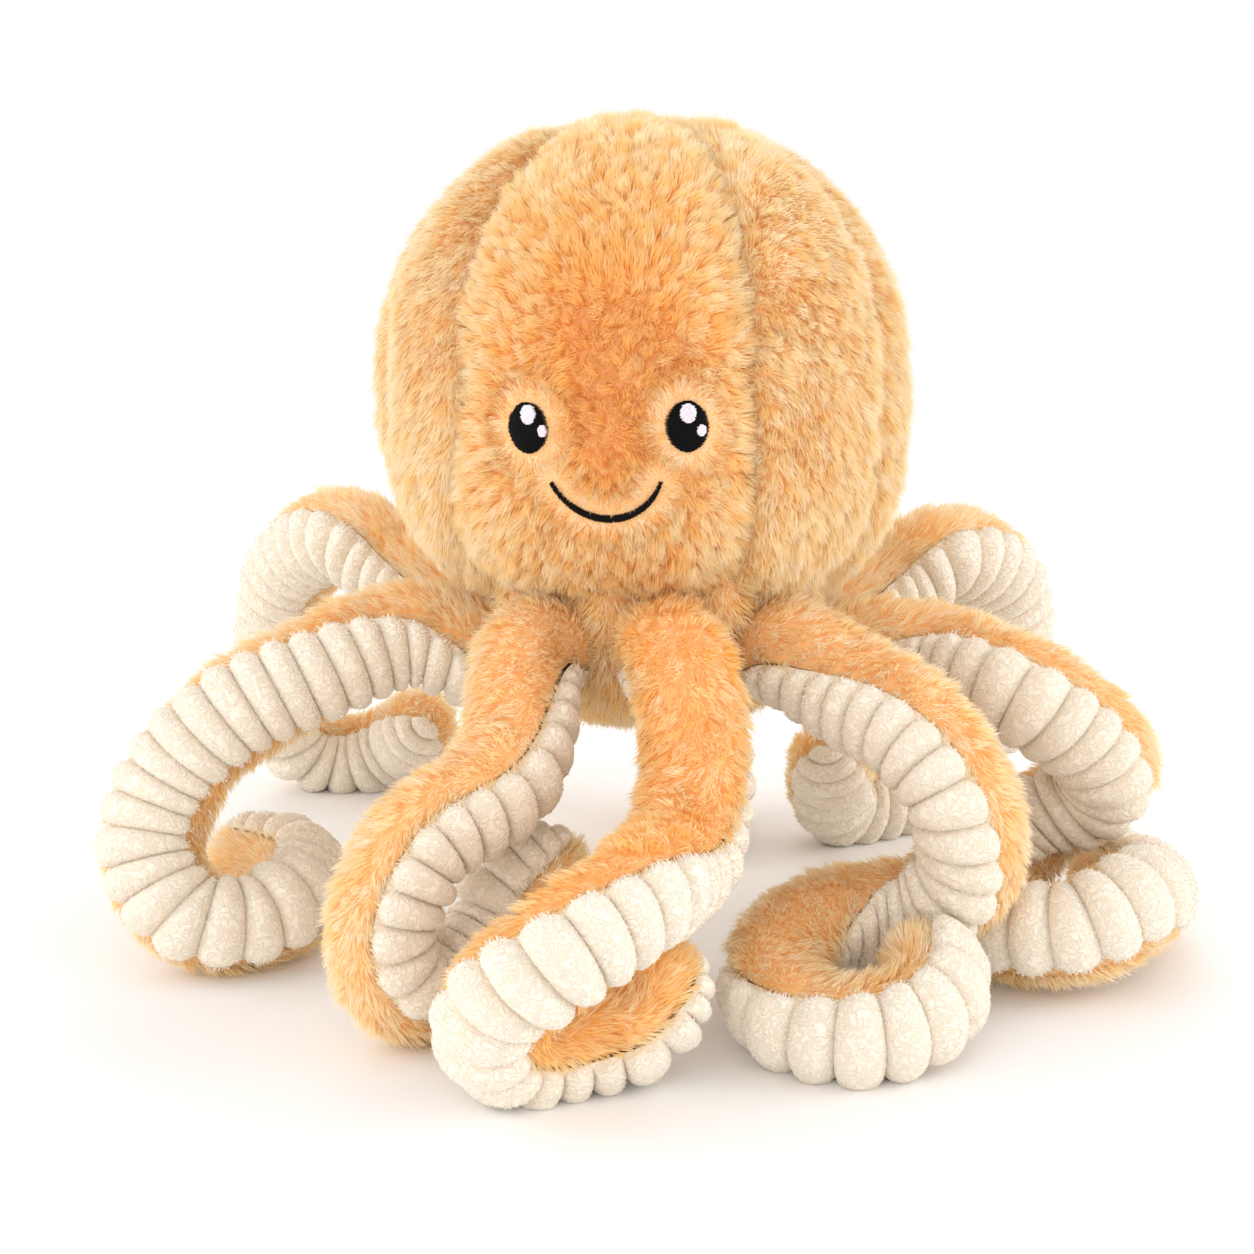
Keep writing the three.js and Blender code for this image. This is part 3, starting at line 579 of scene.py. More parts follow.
class Group(Nodes):
    """A shared node group that puts out one colour. Its inputs are given by name and kind."""

    def __init__(self, name, **inputs):
        super().__init__(bpy.data.node_groups.new(name, "ShaderNodeTree"))
        for title, kind in inputs.items():
            self.tree.interface.new_socket(title, in_out="INPUT", socket_type=kind)
        self.tree.interface.new_socket("Colour", in_out="OUTPUT", socket_type="NodeSocketColor")
        self.given = self.add("NodeGroupInput").outputs

    def finish(self, colour):
        self.link(colour, self.add("NodeGroupOutput").inputs["Colour"])
        return self.tree


def mottle_group():
    """Soft patches of two dye shades, of a size in millimetres."""
    n = Group("mottle", Size="NodeSocketFloat", Deep="NodeSocketColor", Pale="NodeSocketColor")
    patches = n.noise(n.math("DIVIDE", 1000, n.given["Size"]), in_Detail=3)
    return n.finish(n.mix(n.spread(patches, 0.32, 0.68), n.given["Deep"], n.given["Pale"]))


def strand_group():
    """The colour of a strand of pile from its root over its middle to its tip: its own colour, with painted shade at
    the root, down in the pile, and painted light at the tip.
    """
    n = Group("strand_shade", Root="NodeSocketColor", Middle="NodeSocketColor", Tip="NodeSocketColor")
    along = n.attribute("along")
    lower = n.mix(n.spread(along, 0.0, 0.5), n.given["Root"], n.given["Middle"])
    return n.finish(n.mix(n.spread(along, 0.5, 1.0), lower, n.given["Tip"]))


groups = {"mottle": mottle_group(), "strand_shade": strand_group()}


class Material(Nodes):
    """A material round its main shader."""

    def __init__(self, name):
        self.material = bpy.data.materials.new(name)
        self.material.use_nodes = True
        super().__init__(self.material.node_tree)
        self.shader = self.tree.nodes["Principled BSDF"]

    def group(self, name, **values):
        """A shared node group with this material's own values; colours are given as text."""
        node = self.add("ShaderNodeGroup", node_tree=groups[name])
        for key, value in values.items():
            node.inputs[key].default_value = srgb(value) if isinstance(value, str) else value
        return node.outputs["Colour"]

    def crinkle(self, size_mm):
        """0 along fine winding creases and 1 between them."""
        winding = self.noise(1000 / size_mm, in_Detail=1.5, in_Distortion=1.2)
        apart = self.math("ABSOLUTE", self.math("SUBTRACT", winding, 0.5), 0.0)
        return self.math("MINIMUM", self.math("MULTIPLY", apart, 9.0), 1.0)

    def ramp(self, value, *stops):
        node = self.add("ShaderNodeValToRGB")
        elements = node.color_ramp.elements
        while len(elements) < len(stops):
            elements.new(0.5)
        for element, (place, colour) in zip(elements, stops):
            element.position = place
            element.color = srgb(colour)
        self.link(value, node.inputs["Fac"])
        return node.outputs["Color"]

    def bump(self, height, distance_mm, strength):
        node = self.add("ShaderNodeBump", in_Strength=strength, in_Distance=distance_mm * MM)
        self.link(height, node.inputs["Height"])
        self.link(node.outputs["Normal"], self.shader.inputs["Normal"])

    def partly(self, share, other):
        """Another shader takes a share of the surface."""
        mixed = self.shaders(share, self.shader, other)
        self.link(mixed, self.tree.nodes["Material Output"].inputs["Surface"])

    def let_light_through(self, colour, share):
        """Part of the light goes through a thin strand and leaves on its other side."""
        through = self.add("ShaderNodeBsdfTranslucent")
        self.link(colour, through.inputs["Color"])
        self.partly(share, through)

    def clear_beyond(self, near, far):
        """The surface is whole up to a distance from the object's origin and clears towards a farther one."""
        reach = self.add("ShaderNodeVectorMath", operation="LENGTH")
        self.link(self.add("ShaderNodeTexCoord").outputs["Object"], reach.inputs[0])
        self.partly(self.spread(reach.outputs["Value"], near, far), self.add("ShaderNodeBsdfTransparent"))

    def finish(self, colour, **sockets):
        self.link(colour, self.shader.inputs["Base Color"])
        for key, value in sockets.items():
            self.shader.inputs[key.replace("_", " ")].default_value = value
        return self.material


def pile_material():
    """Orange pile: deep at the root with painted shade, pale at the tip with painted light, uneven from tuft to
    tuft, and with the painted shade and light of the face, the head's sides and the arms carried by its tone
    attribute.
    """
    n = Material("orange_pile")
    length = n.group("strand_shade", Root="fab54c", Middle="ffe8b6", Tip="fffbf0")
    tone_and_shade = n.ramp(n.attribute("tone_and_shade"), (0.0, "ffd04c"), (0.5, "fff3cb"), (1.0, "fffbf2"))
    colour = n.mix(0.6, length, tone_and_shade)
    n.let_light_through(colour, 0.55)
    return n.finish(colour, Roughness=0.8, Sheen_Weight=0.3, Sheen_Roughness=0.5)


def backing_material():
    """The cloth that the orange pile stands in."""
    n = Material("orange_backing")
    return n.finish(n.group("mottle", Size=3.0, Deep="f4b87a", Pale="f8c88e"), Roughness=0.95)


def plush_material():
    """Cream ribbed plush: crinkled short pile, with painted shade that makes it warmer and darker in the grooves and
    along the crinkles' creases.
    """
    n = Material("cream_plush")
    fibres = n.crinkle(3.4)
    # Painted shade: the crest colour is darker along the crinkles' fine creases.
    crest_with_crease_shade = n.ramp(fibres, (0.0, "e6d8c2"), (1.0, "f4e9d9"))
    groove = n.group("mottle", Size=3.0, Deep="ead9c0", Pale="f4e8d6")
    # Painted shade: the groove colour is mixed in by the hollow attribute, where the grooves between the ribs lie.
    colour = n.mix(n.attribute("hollow"), crest_with_crease_shade, groove)
    wool = n.math("ADD", fibres, n.math("MULTIPLY", n.noise(1000 / 0.9, in_Detail=2.0), 0.25))
    n.bump(wool, 0.4, 0.6)
    return n.finish(colour, Roughness=0.9, Sheen_Weight=0.3, Sheen_Roughness=0.5)


def fuzz_material():
    """The ribs' own short cream pile, darker at the root with painted shade and paler at the tip with painted light.
    """
    n = Material("cream_pile")
    return n.finish(n.group("strand_shade", Root="dccab4", Middle="e8dac6", Tip="f2e8da"), Roughness=0.9,
                    Sheen_Weight=0.3, Sheen_Roughness=0.5)


def thread_material(name, dark, light):
    """Embroidery thread, a little uneven from stitch to stitch."""
    n = Material(name)
    return n.finish(n.group("mottle", Size=0.8, Deep=dark, Pale=light), Roughness=0.6, Specular_IOR_Level=0.12)


materials = {
    "pile": pile_material(),
    "backing": backing_material(),
    "plush": plush_material(),
    "fuzz": fuzz_material(),
    "black": thread_material("black_thread", "020203", "09080a"),
    "white": thread_material("white_thread", "d8cfdc", "f4eef4"),
}


def dress(piece, material):
    """Gives a piece its material."""
    piece.data.materials.append(materials[material])
    return piece


# Arms

def curve_place(controls, at):
    """Places on a centripetal curve through the controls, at shares of its controls."""
    before = 2 * controls[0] - controls[1]
    after = 2 * controls[-1] - controls[-2]
    padded = np.vstack([before, controls, after])
    reach = np.clip(at, 0, 1) * (len(controls) - 1)
    first = np.minimum(reach.astype(int), len(controls) - 2)
    w = (reach - first)[:, None]
    p0, p1, p2, p3 = (padded[first + k] for k in range(4))
    d0, d1, d2 = (np.sqrt(np.linalg.norm(b - a, axis=1))[:, None] for a, b in ((p0, p1), (p1, p2), (p2, p3)))
    t1 = ((p1 - p0) / d0 - (p2 - p0) / (d0 + d1) + (p2 - p1) / d1) * d1
    t2 = ((p2 - p1) / d1 - (p3 - p1) / (d1 + d2) + (p3 - p2) / d2) * d1
    return p1 + t1 * w + (3 * (p2 - p1) - 2 * t1 - t2) * w ** 2 + (2 * (p1 - p2) + t1 + t2) * w ** 3


def rings(middle, reach, angles, first, second):
    """Points round the places of a line, at a reach and at angles from its first towards its second directions."""
    return (middle[:, None] + (reach * np.cos(angles))[..., None] * first[:, None]
            + (reach * np.sin(angles))[..., None] * second[:, None])


def round_neck(turn, radius, height, sway=0.0):
    """Points at a turn, a radius and a height round the neck, swayed to the right."""
    right, front = radial(turn)
    return from_neck(radius * right + sway, radius * front, height)


class Arm:
    """The twisting path of one arm. Its length is counted in ribs, and past the last one it rounds the tip."""

    def __init__(self, name, number):
        self.name = name
        self.turn = FIRST_TURN + number * 360 / len(ARM_ORDER)
        right, front = radial(self.turn)
        drop = math.radians(ROOT_DROP)
        way = np.array([right * math.cos(drop), front * math.cos(drop), -math.sin(drop)])
        down = np.array([-right * math.sin(drop), -front * math.sin(drop), -math.cos(drop)])
        start = np.array([right, front, 0]) * NECK_RADIUS + way * 0.3 + down * (ARM_RADIUS - 1.2)
        rows = np.array(ARM_PATHS[name], float)
        places = rows[:, :3] + [NECK[0], NECK[1], 0]
        roots = [from_neck(*start), from_neck(*(start + way * ROOT_LEAD))]
        self.controls = np.vstack([roots, places])
        self.facings = unit(np.vstack([[[0, 0, -1]] * 2, rows[:, 3:]]))
        self.shares = np.linspace(0, 1, 601)
        dense = curve_place(self.controls, self.shares)
        self.lengths = np.concatenate([[0], np.cumsum(np.linalg.norm(np.diff(dense, axis=0), axis=1))])
        self.ribs = round(self.lengths[-1] / RIB_PITCH)
        self.strips = self.evened_twist()

    def line(self, ribs):
        """Places and directions of the middle line at a length in ribs."""
        at = np.interp(np.clip(ribs / self.ribs, 0, 1) * self.lengths[-1], self.lengths, self.shares)
        small = 1e-4
        way = unit(curve_place(self.controls, np.minimum(at + small, 1)) - curve_place(self.controls, at - small))
        return at, curve_place(self.controls, at), way

    def evened_twist(self):
        """The strip's direction at every groove, its turn smoothed against a frame carried along the arm."""
        at, _, ways = self.line(np.arange(self.ribs + 1))
        reach = at * (len(self.facings) - 1)
        first = np.minimum(reach.astype(int), len(self.facings) - 2)
        share = (reach - first)[:, None]
        facings = self.facings[first] * (1 - share) + self.facings[first + 1] * share
        carried = facings[0]
        frames, turns, turn = [], [], 0
        for facing, way in zip(facings, ways):
            carried = unit(carried - carried.dot(way) * way)
            side = np.cross(way, carried)
            wanted = math.atan2(facing.dot(side), facing.dot(carried))
            turn += math.remainder(wanted - turn, 2 * math.pi)
            frames.append((carried, side))
            turns.append(turn)
        turns = np.array(turns)
        for _ in range(TWIST_PASSES):
            evened = (np.append(turns[0], turns[:-1]) + turns * 2 + np.append(turns[1:], turns[-1])) / 4
            evened[0] = turns[0]
            turns = evened
        return np.array([a * math.cos(t) + b * math.sin(t) for (a, b), t in zip(frames, turns)])

    def section(self, ribs, angles, raised):
        """Points round the arm: rows at lengths in ribs, columns at angles from the strip's middle."""
        _, middle, way = self.line(ribs)
        whole = np.clip(ribs, 0, self.ribs - 1e-6)
        first = whole.astype(int)
        share = (whole - first)[:, None]
        strip = self.strips[first] * (1 - share) + self.strips[first + 1] * share
        strip = unit(strip - (strip * way).sum(1, keepdims=True) * way)
        side = np.cross(way, strip)
        tip = np.clip(ribs - self.ribs, 0, None)[:, None] * TIP_STEP
        size = np.clip(ribs / self.ribs, 0, 1)[:, None]
        reach = ARM_RADIUS - (ARM_RADIUS - TIP_RADIUS) * size ** 2 + raised
        round_arm = rings(middle, reach * np.cos(tip), angles, strip, side)
        return round_arm + (reach * np.sin(tip))[..., None] * way[:, None]

    def closed_sheet(self, points, **fields):
        """A sheet from points, with rows in front that close the arm at the neck seam, domed towards the hub."""
        _, middle, way = self.line(np.zeros(1))
        size = np.linspace(0.04, 1, ROOT_ROWS + 1)[:-1, None, None]
        cap = middle + (points[0] - middle) * size - way * ROOT_DOME * np.sqrt(1 - size ** 2)
        longer = {key: np.concatenate([grid[:1]] * ROOT_ROWS + [grid]) for key, grid in fields.items()}
        return Sheet(np.concatenate([cap, points]), **longer)


def fur_sheet(arm):
    """The fur panel's cloth round the arm's back, from one edge of the strip to the other."""
    rows = np.linspace(0, arm.ribs + TIP_RIBS + 0.1, (arm.ribs + TIP_RIBS) * FUR_ROWS_PER_RIB + 1)
    across = np.linspace(0, 1, FUR_COLUMNS)
    angles = STRIP_HALF + (2 * math.pi - 2 * STRIP_HALF) * across
    between = np.sin(math.pi * across)
    raised = -SKIN - 0.6 * (1 - between ** 0.5)
    points = arm.section(rows, angles[None, :], raised[None, :] + np.zeros((len(rows), 1)))
    edge = (across * 2 - 1)[None, :] + np.zeros((len(rows), 1))
    sheet = Sheet(points, edge=edge)
    pinned = np.zeros(edge.shape)
    pinned[0] = pinned[-TIP_ROWS_HELD:] = 1
    pinned[:, [0, -1]] = 1
    places = pressed_out(sheet, pinned, ARM_PUFF)
    places[..., 2] = np.maximum(places[..., 2], 0.3)
    return arm.closed_sheet(places, edge=edge)


def ribbed_sheet(arm):
    """The strip between its seams: a full roll between each two grooves, wider where the arm bends away."""
    across = np.linspace(-1, 1, RIB_COLUMNS)
    across = np.sin(across * math.pi / 2) * 0.5 + across * 0.5
    angles = STRIP_HALF * across
    count = arm.ribs + TIP_RIBS
    grooves = arm.section(np.arange(count + 1.0), angles[None, :], np.full((count + 1, RIB_COLUMNS), -RIB_GROOVE))
    wide = np.linalg.norm(np.diff(grooves, axis=0), axis=-1)
    steps = (1 - np.cos(np.arange(RIB_ROWS) / RIB_ROWS * math.pi)) / 2
    ribs = np.append((np.arange(count)[:, None] + steps[None, :]).ravel(), count)
    phase = np.append(np.tile(steps, count), 1)[:, None]
    narrowing = np.sqrt(1 - np.clip(np.abs(across) - 0.78, 0, None) ** 2 / 0.23 ** 2)[None, :]
    roll = np.clip(1 - (np.abs(2 * phase - 1) / narrowing) ** 2.1, 0, 1) ** 0.55
    width = wide[np.minimum(ribs.astype(int), count - 1)]
    ends = (1 - np.abs(across) ** 9) ** 0.5
    uneven = 1 + 0.14 * (hashed(ribs.astype(int)[:, None], np.full((1, 1), arm.turn), seed=3) - 0.5)
    swell = RIB_FULLNESS * np.minimum(width, WIDEST_ROLL) * roll * ends[None, :] * uneven
    raised = -RIB_GROOVE + swell - 0.5 * (1 - np.cos(across * math.pi / 2) ** 0.3)[None, :]
    points = arm.section(ribs, angles[None, :], raised)
    sheet = Sheet(points)
    crinkle = noise(points, 2.6, 5) * 0.22 + noise(points, 1.3, 6) * 0.12
    points = points + sheet.normal * (crinkle * roll ** 0.5)[..., None]
    points[..., 2] = np.maximum(points[..., 2], 0.0)
    # Hollow is 1 in the grooves and 0 on the rolls; it places the plush's painted groove shade and thins the ribs'
    # own pile.
    hollow = 1 - np.clip(roll * ends[None, :] * 1.6, 0, 1)
    edge = across[None, :] + np.zeros((len(ribs), 1))
    return arm.closed_sheet(points, hollow=hollow, phase=phase + np.zeros(edge.shape), edge=edge)


def add_rib_fuzz(arm, ribbed, random):
    """Short cream pile that lies from each rib's ridge to its grooves and stands out at the ribs' ends."""
    wanted = (1.05 - ribbed.fields["hollow"]) * (np.abs(ribbed.fields["edge"]) < 0.95)
    seeds = ribbed.scatter(1.3, random, wanted=wanted)
    edge, phase = seeds["edge"], seeds["phase"]
    ends = smooth(np.abs(edge), 0.75, 0.92)
    comb = np.stack([1.5 * np.sign(phase - 0.5) * (1 - ends), np.sign(edge) * ends * 2.0 + 0.001], -1)
    length = 1.2 + 1.4 * ends
    fuzz = strands(f"arm_{arm.name}_rib_pile", seeds, comb, length, random, width=0.4, tuft_size=2.5, seed=71,
                   gather=0.3)
    return dress(fuzz, "fuzz")


def add_arm(number, name):
    arm = Arm(name, number)
    random = np.random.default_rng(100 + number)
    fur = fur_sheet(arm)
    skin = dress(fur.piece(f"arm_{name}_fur_backing"), "backing")
    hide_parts(f"arm_{name}_fur_panel", f"arm_{name}_stuffing")
    ribbed = ribbed_sheet(arm)
    strip = dress(ribbed.piece(f"arm_{name}_ribs"), "plush")
    add_attribute(strip, "hollow", ribbed.fields["hollow"])
    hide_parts(f"arm_{name}_ribbed_panel")
    seeds = fur.scatter(0.8, random)
    edge = seeds["edge"]
    calm = 0.5 + 0.5 * noise(seeds["points"], 45, 60 + number)
    # Painted shade on the front arm, and painted light on the other arms.
    seeds["deeper"] = ARM_PAINTED_SHADES.get(name, OTHER_ARM_PAINTED_SHADE)
    comb = np.stack([0.85 + 0.5 * calm, 0.4 * np.sign(edge) * smooth(np.abs(edge), 0.5, 1.0)], -1)
    length = PILE * (1 - 0.4 * smooth(np.abs(edge), 0.8, 1.0))
    pile = strands(f"arm_{name}_pile", seeds, comb, length, random, width=0.48, tuft_size=5.5, seed=11 + number,
                   gather=0.75, wild=0.85 - 0.35 * calm)
    dress(pile, "pile")
    fuzz = add_rib_fuzz(arm, ribbed, random)
    seam, free = (round_neck(arm.turn, radius, 0.0) for radius in (NECK_RADIUS - 4, NECK_RADIUS + BEND_LENGTH))
    for piece in (skin, strip, pile, fuzz):
        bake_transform(piece)


# Head

def head_profile(share):
    """Radius, height and outward slope of the head's side at shares of the way down from the crown."""
    share = np.asarray(share, float)
    angle = np.minimum(share, 0.5) * math.pi
    upper = np.stack([np.sin(angle) * HEAD_RADIUS, CHEEK_HEIGHT + np.cos(angle) * CROWN_HEIGHT], -1)
    t = np.clip(share * 2 - 1, 0, 1)[..., None]
    corners = np.array([[HEAD_RADIUS, CHEEK_HEIGHT], [HEAD_RADIUS, CHEEK_HEIGHT - CHEEK_FULLNESS],
                        [JAW_RADIUS, JAW_RISE], [NECK_RADIUS, 0.3]])
    weights = [(1 - t) ** 3, 3 * t * (1 - t) ** 2, 3 * t ** 2 * (1 - t), t ** 3]
    lower = sum(weight * corner for weight, corner in zip(weights, corners))
    slope = 3 * ((1 - t) ** 2 * (corners[1] - corners[0]) + 2 * t * (1 - t) * (corners[2] - corners[1])
                 + t ** 2 * (corners[3] - corners[2]))
    out_upper = np.stack([np.sin(angle) * CROWN_HEIGHT, np.cos(angle) * HEAD_RADIUS], -1)
    out_lower = np.stack([-slope[..., 1], slope[..., 0]], -1)
    below = (share > 0.5)[..., None]
    return np.where(below, lower, upper), unit(np.where(below, out_lower, out_upper))


def seam_turn(seam, share):
    """The turn of a seam at a share of the way down: it moves between the widest place and the neck."""
    widest, neck = SEAM_TURNS[seam]
    return widest + (neck - widest) * smooth(share, 0.5, 1.0)


def head_point(turn, share, raised):
    """Points of the head at a turn round its axis and a share of the way down, raised along the slope."""
    place, outward = head_profile(share)
    radius = place[..., 0] + outward[..., 0] * raised
    height = place[..., 1] + outward[..., 1] * raised
    sway = -HEAD_SWAY * np.sin(np.clip(height / CHEEK_HEIGHT, 0, 1) * math.pi / 2)
    return round_neck(turn, radius, height, sway)


def gore_fullness(across, share):
    """How far a gore stands out between its seams."""
    between = np.sin(math.pi * np.clip(across, 0, 1))
    return GORE_BULGE * np.sqrt(between) * np.sqrt(np.sin(math.pi * np.clip(share, 0, 1)))


def gore_sheet(number):
    """One gore of the head: full between its seams, sunk at them, and close under the embroidery."""
    shares = np.linspace(0.012, 1, HEAD_ROWS)[:, None]
    columns = FACE_COLUMNS if number == 0 else GORE_COLUMNS
    across = np.linspace(0, 1, columns)[None, :]
    start, end = seam_turn(number, shares), seam_turn(number + 1, shares)
    turn = start + (end - start) * across
    share = shares + np.zeros_like(across)
    seam_mm = np.minimum(across, 1 - across) * np.radians(end - start) * head_profile(shares[:, 0])[0][:, :1]
    groove = -SEAM_DEPTH * np.exp(-(seam_mm / SEAM_WIDTH) ** 2)
    face = 1 - smooth(beside_face(turn, share)[0], 0, FACE_CLEARING)
    closed = smooth(share, 0.9, 1.0)
    raised = -SKIN * (1 - 0.85 * face) * (1 - 0.6 * closed) + gore_fullness(across, share) + groove * (1 - closed)
    sheet = Sheet(head_point(turn, share, raised), flip=True, turn=turn, share=share, seam_mm=seam_mm)
    pinned = 1 - smooth(beside_face(turn, share)[0], 1, 14)
    pinned[[0, -1]] = pinned[:, [0, -1]] = 1
    sheet.moved_to(pressed_out(sheet, pinned, HEAD_PUFF))
    return sheet


SHARES = np.linspace(0, 1, 2001)
HEIGHTS = head_profile(SHARES)[0][:, 1]


def share_at(height):
    """The share of the way down at a height over the neck."""
    return np.interp(-height, -HEIGHTS, SHARES)


def face_point(turn, level, across, up, raised):
    """A point of the face, across and up from a place, raised over the cloth."""
    share = share_at(level + up)
    radius = head_profile(share)[0][..., 0]
    at = turn + np.degrees(across / radius)
    start, end = seam_turn(0, share), seam_turn(1, share)
    return head_point(at, share, gore_fullness((at - start) / (end - start), share) + raised)


def beside_face(turn, share):
    """For places on the head: the distance from the embroidery, and the direction (down, across) away from it."""
    place = head_profile(share)[0]
    marks = []
    for side in (-1, 1):
        x = np.radians(turn - FACE_TURN - side * EYE_TURN) * place[..., 0]
        y = place[..., 1] - EYE_LEVEL
        ring = np.hypot(x / (EYE_SIZE[0] / 2), y / (EYE_SIZE[1] / 2))
        marks.append((x, y, (ring - 1) * (EYE_SIZE[0] / 2)))
    x = np.radians(turn - FACE_TURN) * place[..., 0] - MOUTH_SHIFT
    y = place[..., 1] - MOUTH_LEVEL - MOUTH_RADIUS * math.cos(MOUTH_HALF)
    held = np.clip(np.arctan2(x, -y), -MOUTH_HALF, MOUTH_HALF)
    nearest = np.stack([np.sin(held), -np.cos(held)], -1) * MOUTH_RADIUS
    apart = np.stack([x, y], -1) - nearest
    marks.append((apart[..., 0], apart[..., 1], np.linalg.norm(apart, axis=-1) - MOUTH_LINE / 2))
    near, away = np.full(place.shape[:-1], FAR), np.zeros(place.shape)
    for x, y, distance in marks:
        closer = distance < near
        near[closer] = distance[closer]
        away[closer] = unit(np.stack([-y, x], -1))[closer]
    return near, away


def from_face(seeds):
    """How far seeds lie to the right of the face's middle, and their height over the neck."""
    place = head_profile(seeds["share"])[0]
    return np.radians(seeds["turn"] - FACE_TURN) * place[:, 0], place[:, 1]


def head_comb(seeds):
    """The pile fans out from between the eyes and lies down towards the neck on the other gores."""
    across, height = from_face(seeds)
    fan = np.stack([EYE_LEVEL + 10 - height, across], -1)
    reach = np.linalg.norm(fan, axis=-1, keepdims=True)
    fan = fan / reach * 0.7 * smooth(reach, 0, 60)
    on_face = 1 - smooth(np.abs(across), 45, 75)[:, None]
    comb = fan * on_face + np.array([0.95, 0.0]) * (1 - on_face)
    return comb * (1 - 0.9 * smooth(seeds["share"], 0.85, 1.0))[:, None]


def painted_face_shade_weight(seeds):
    """1 in the middle of the face and the forehead, where the pile gets painted shade, and 0 far from it."""
    across, height = from_face(seeds)
    return np.exp(-(across / 34) ** 2 - ((height - EYE_LEVEL - 25) / 62) ** 2)


def add_head():
    random = np.random.default_rng(7)
    for number, name in enumerate(GORES):
        sheet = gore_sheet(number)
        skin = dress(sheet.piece(f"head_{name}_backing"), "backing")
        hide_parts(f"head_gore_{name}", *(["head_stuffing"] if number == 0 else []))
        spacing, width = (0.52, 0.36) if name in SEEN_GORES else (0.62, 0.46)
        seeds = sheet.scatter(spacing, random)
        near, away = beside_face(seeds["turn"], seeds["share"])
        kept = near > np.where(random.random(len(near)) < 0.05, -0.9, 0.1)
        seeds = {key: value[kept] for key, value in seeds.items()}
        near, away = near[kept], away[kept]
        calm = np.exp(-(np.clip(near, 0, None) / 6) ** 2)[:, None]
        comb = head_comb(seeds) * (1 - calm) + away * calm * 1.2
        length = PILE * (0.25 + 0.75 * smooth(near, 0, FACE_CLEARING)) * (0.6 + 0.4 * smooth(seeds["seam_mm"], 0, 6))
        length = length * (1 - 0.5 * smooth(seeds["share"], 0.9, 1.0))
        sides = smooth(np.abs(seeds["turn"] - FACE_TURN), 25, 70)
        # Painted shade in the middle of the face, fading out next to the embroidery, and painted light on the head's
        # sides.
        seeds["deeper"] = painted_face_shade_weight(seeds) * FACE_PAINTED_SHADE * smooth(near, 0, 9) - SIDES_PAINTED_LIGHT * sides
        pile = strands(f"head_{name}_pile", seeds, comb, length, random, width=width, tuft_size=4.2,
                       seed=31 + number, gather=0.65 - 0.4 * sides, wild=1.0 - 0.55 * sides)
        dress(pile, "pile")
        for piece in (skin, pile):
            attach(piece, "head")


def add_hub():
    """The furry hub between the arm roots, closed by the base panel."""
    top, low = NECK_RADIUS - HUB_TOP_INSET, NECK_RADIUS - HUB_LOW_INSET
    shares = np.linspace(0, 1, HUB_ROWS)[:, None]
    turns = np.linspace(0, 360, HUB_COLUMNS)[None, :]
    between_arms = np.clip(-np.cos(np.radians(turns - FIRST_TURN) * len(ARM_ORDER)), 0, 1)
    radius = low + (top - low) * np.sqrt(1 - shares ** 2) + HUB_WEB * between_arms * (1 - shares)
    rows = round_neck(turns, radius, HUB_RISE - (HUB_DEPTH + 5) * shares)
    side = Sheet(rows, flip=True)
    hub = dress(side.piece("hub_backing"), "backing")
    inward = low * (1 - shares) + 0.1
    base = round_neck(turns, inward, -HUB_DEPTH - BASE_BULGE * np.sin(shares * math.pi / 2) - 0.4)
    underside = Sheet(base, flip=True)
    panel = dress(underside.piece("base_panel_backing"), "backing")
    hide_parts("base_panel")
    random = np.random.default_rng(9)
    for piece, sheet, name in ((hub, side, "hub"), (panel, underside, "base_panel")):
        seeds = sheet.scatter(0.85, random)
        count = len(seeds["points"])
        comb = np.tile([0.4, 0.0], (count, 1))
        pile = strands(f"{name}_pile", seeds, comb, np.full(count, PILE + 1), random, width=0.55, tuft_size=5.0,
                       seed=51)
        dress(pile, "pile")
        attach(piece, "head")
        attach(pile, "head")


# Embroidery

def thread_bundle(name, lines, radius):
    """Round threads along lines of points, as one mesh. Each line is (places, outward directions)."""
    points, quads = [], []
    for places, outward in lines:
        way = unit(np.gradient(places, axis=0))
        side = unit(np.cross(way, outward))
        up = np.cross(side, way)
        angles = np.arange(THREAD_SIDES) / THREAD_SIDES * 2 * math.pi
        fat = np.full(len(places), radius)
        fat[[0, -1]] *= 0.35
        start = sum(len(p) for p in points)
        index = start + np.arange(len(places) * THREAD_SIDES).reshape(len(places), THREAD_SIDES)
        after = np.roll(index, -1, axis=1)
        quads.append(np.stack([index[:-1], after[:-1], after[1:], index[1:]], -1).reshape(-1, 4))
        points.append(rings(places, fat[:, None], angles, side, up).reshape(-1, 3))
    return new_mesh(name, np.concatenate(points), np.concatenate(quads))


def stitch(turn, level, across, up, raised):
    """The places of one stitch on the face, and the directions out of the cloth there."""
    place = face_point(turn, level, across, up, raised)
    return place, unit(face_point(turn, level, across, up, raised + 1) - place)


def satin_oval(name, turn, offset, size, base, dome, pitch, random):
    """An oval of satin stitches lying side by side, over a low dome."""
    lines = []
    count = int(size[1] / pitch)
    for k in range(count + 1):
        v = -1 + 2 * (k + 0.5) / (count + 1)
        half = math.sqrt(1 - v * v) * size[0] / 2
        left = -half - random.uniform(-RAGGED, RAGGED)
        right = half + random.uniform(-RAGGED, RAGGED)
        x = np.linspace(left, right, 11)
        u = np.clip(x / (size[0] / 2), -1, 1)
        height = base + dome * np.sqrt(np.clip(1 - u ** 2 - v ** 2, 0, 1))
        height[[0, -1]] = base - 0.9
        slant = 0.08 * x
        y = v * size[1] / 2 + slant * pitch
        lines.append(stitch(turn, EYE_LEVEL, offset[0] + x, offset[1] + y, height))
    return thread_bundle(name, lines, pitch * THREAD_FATNESS)


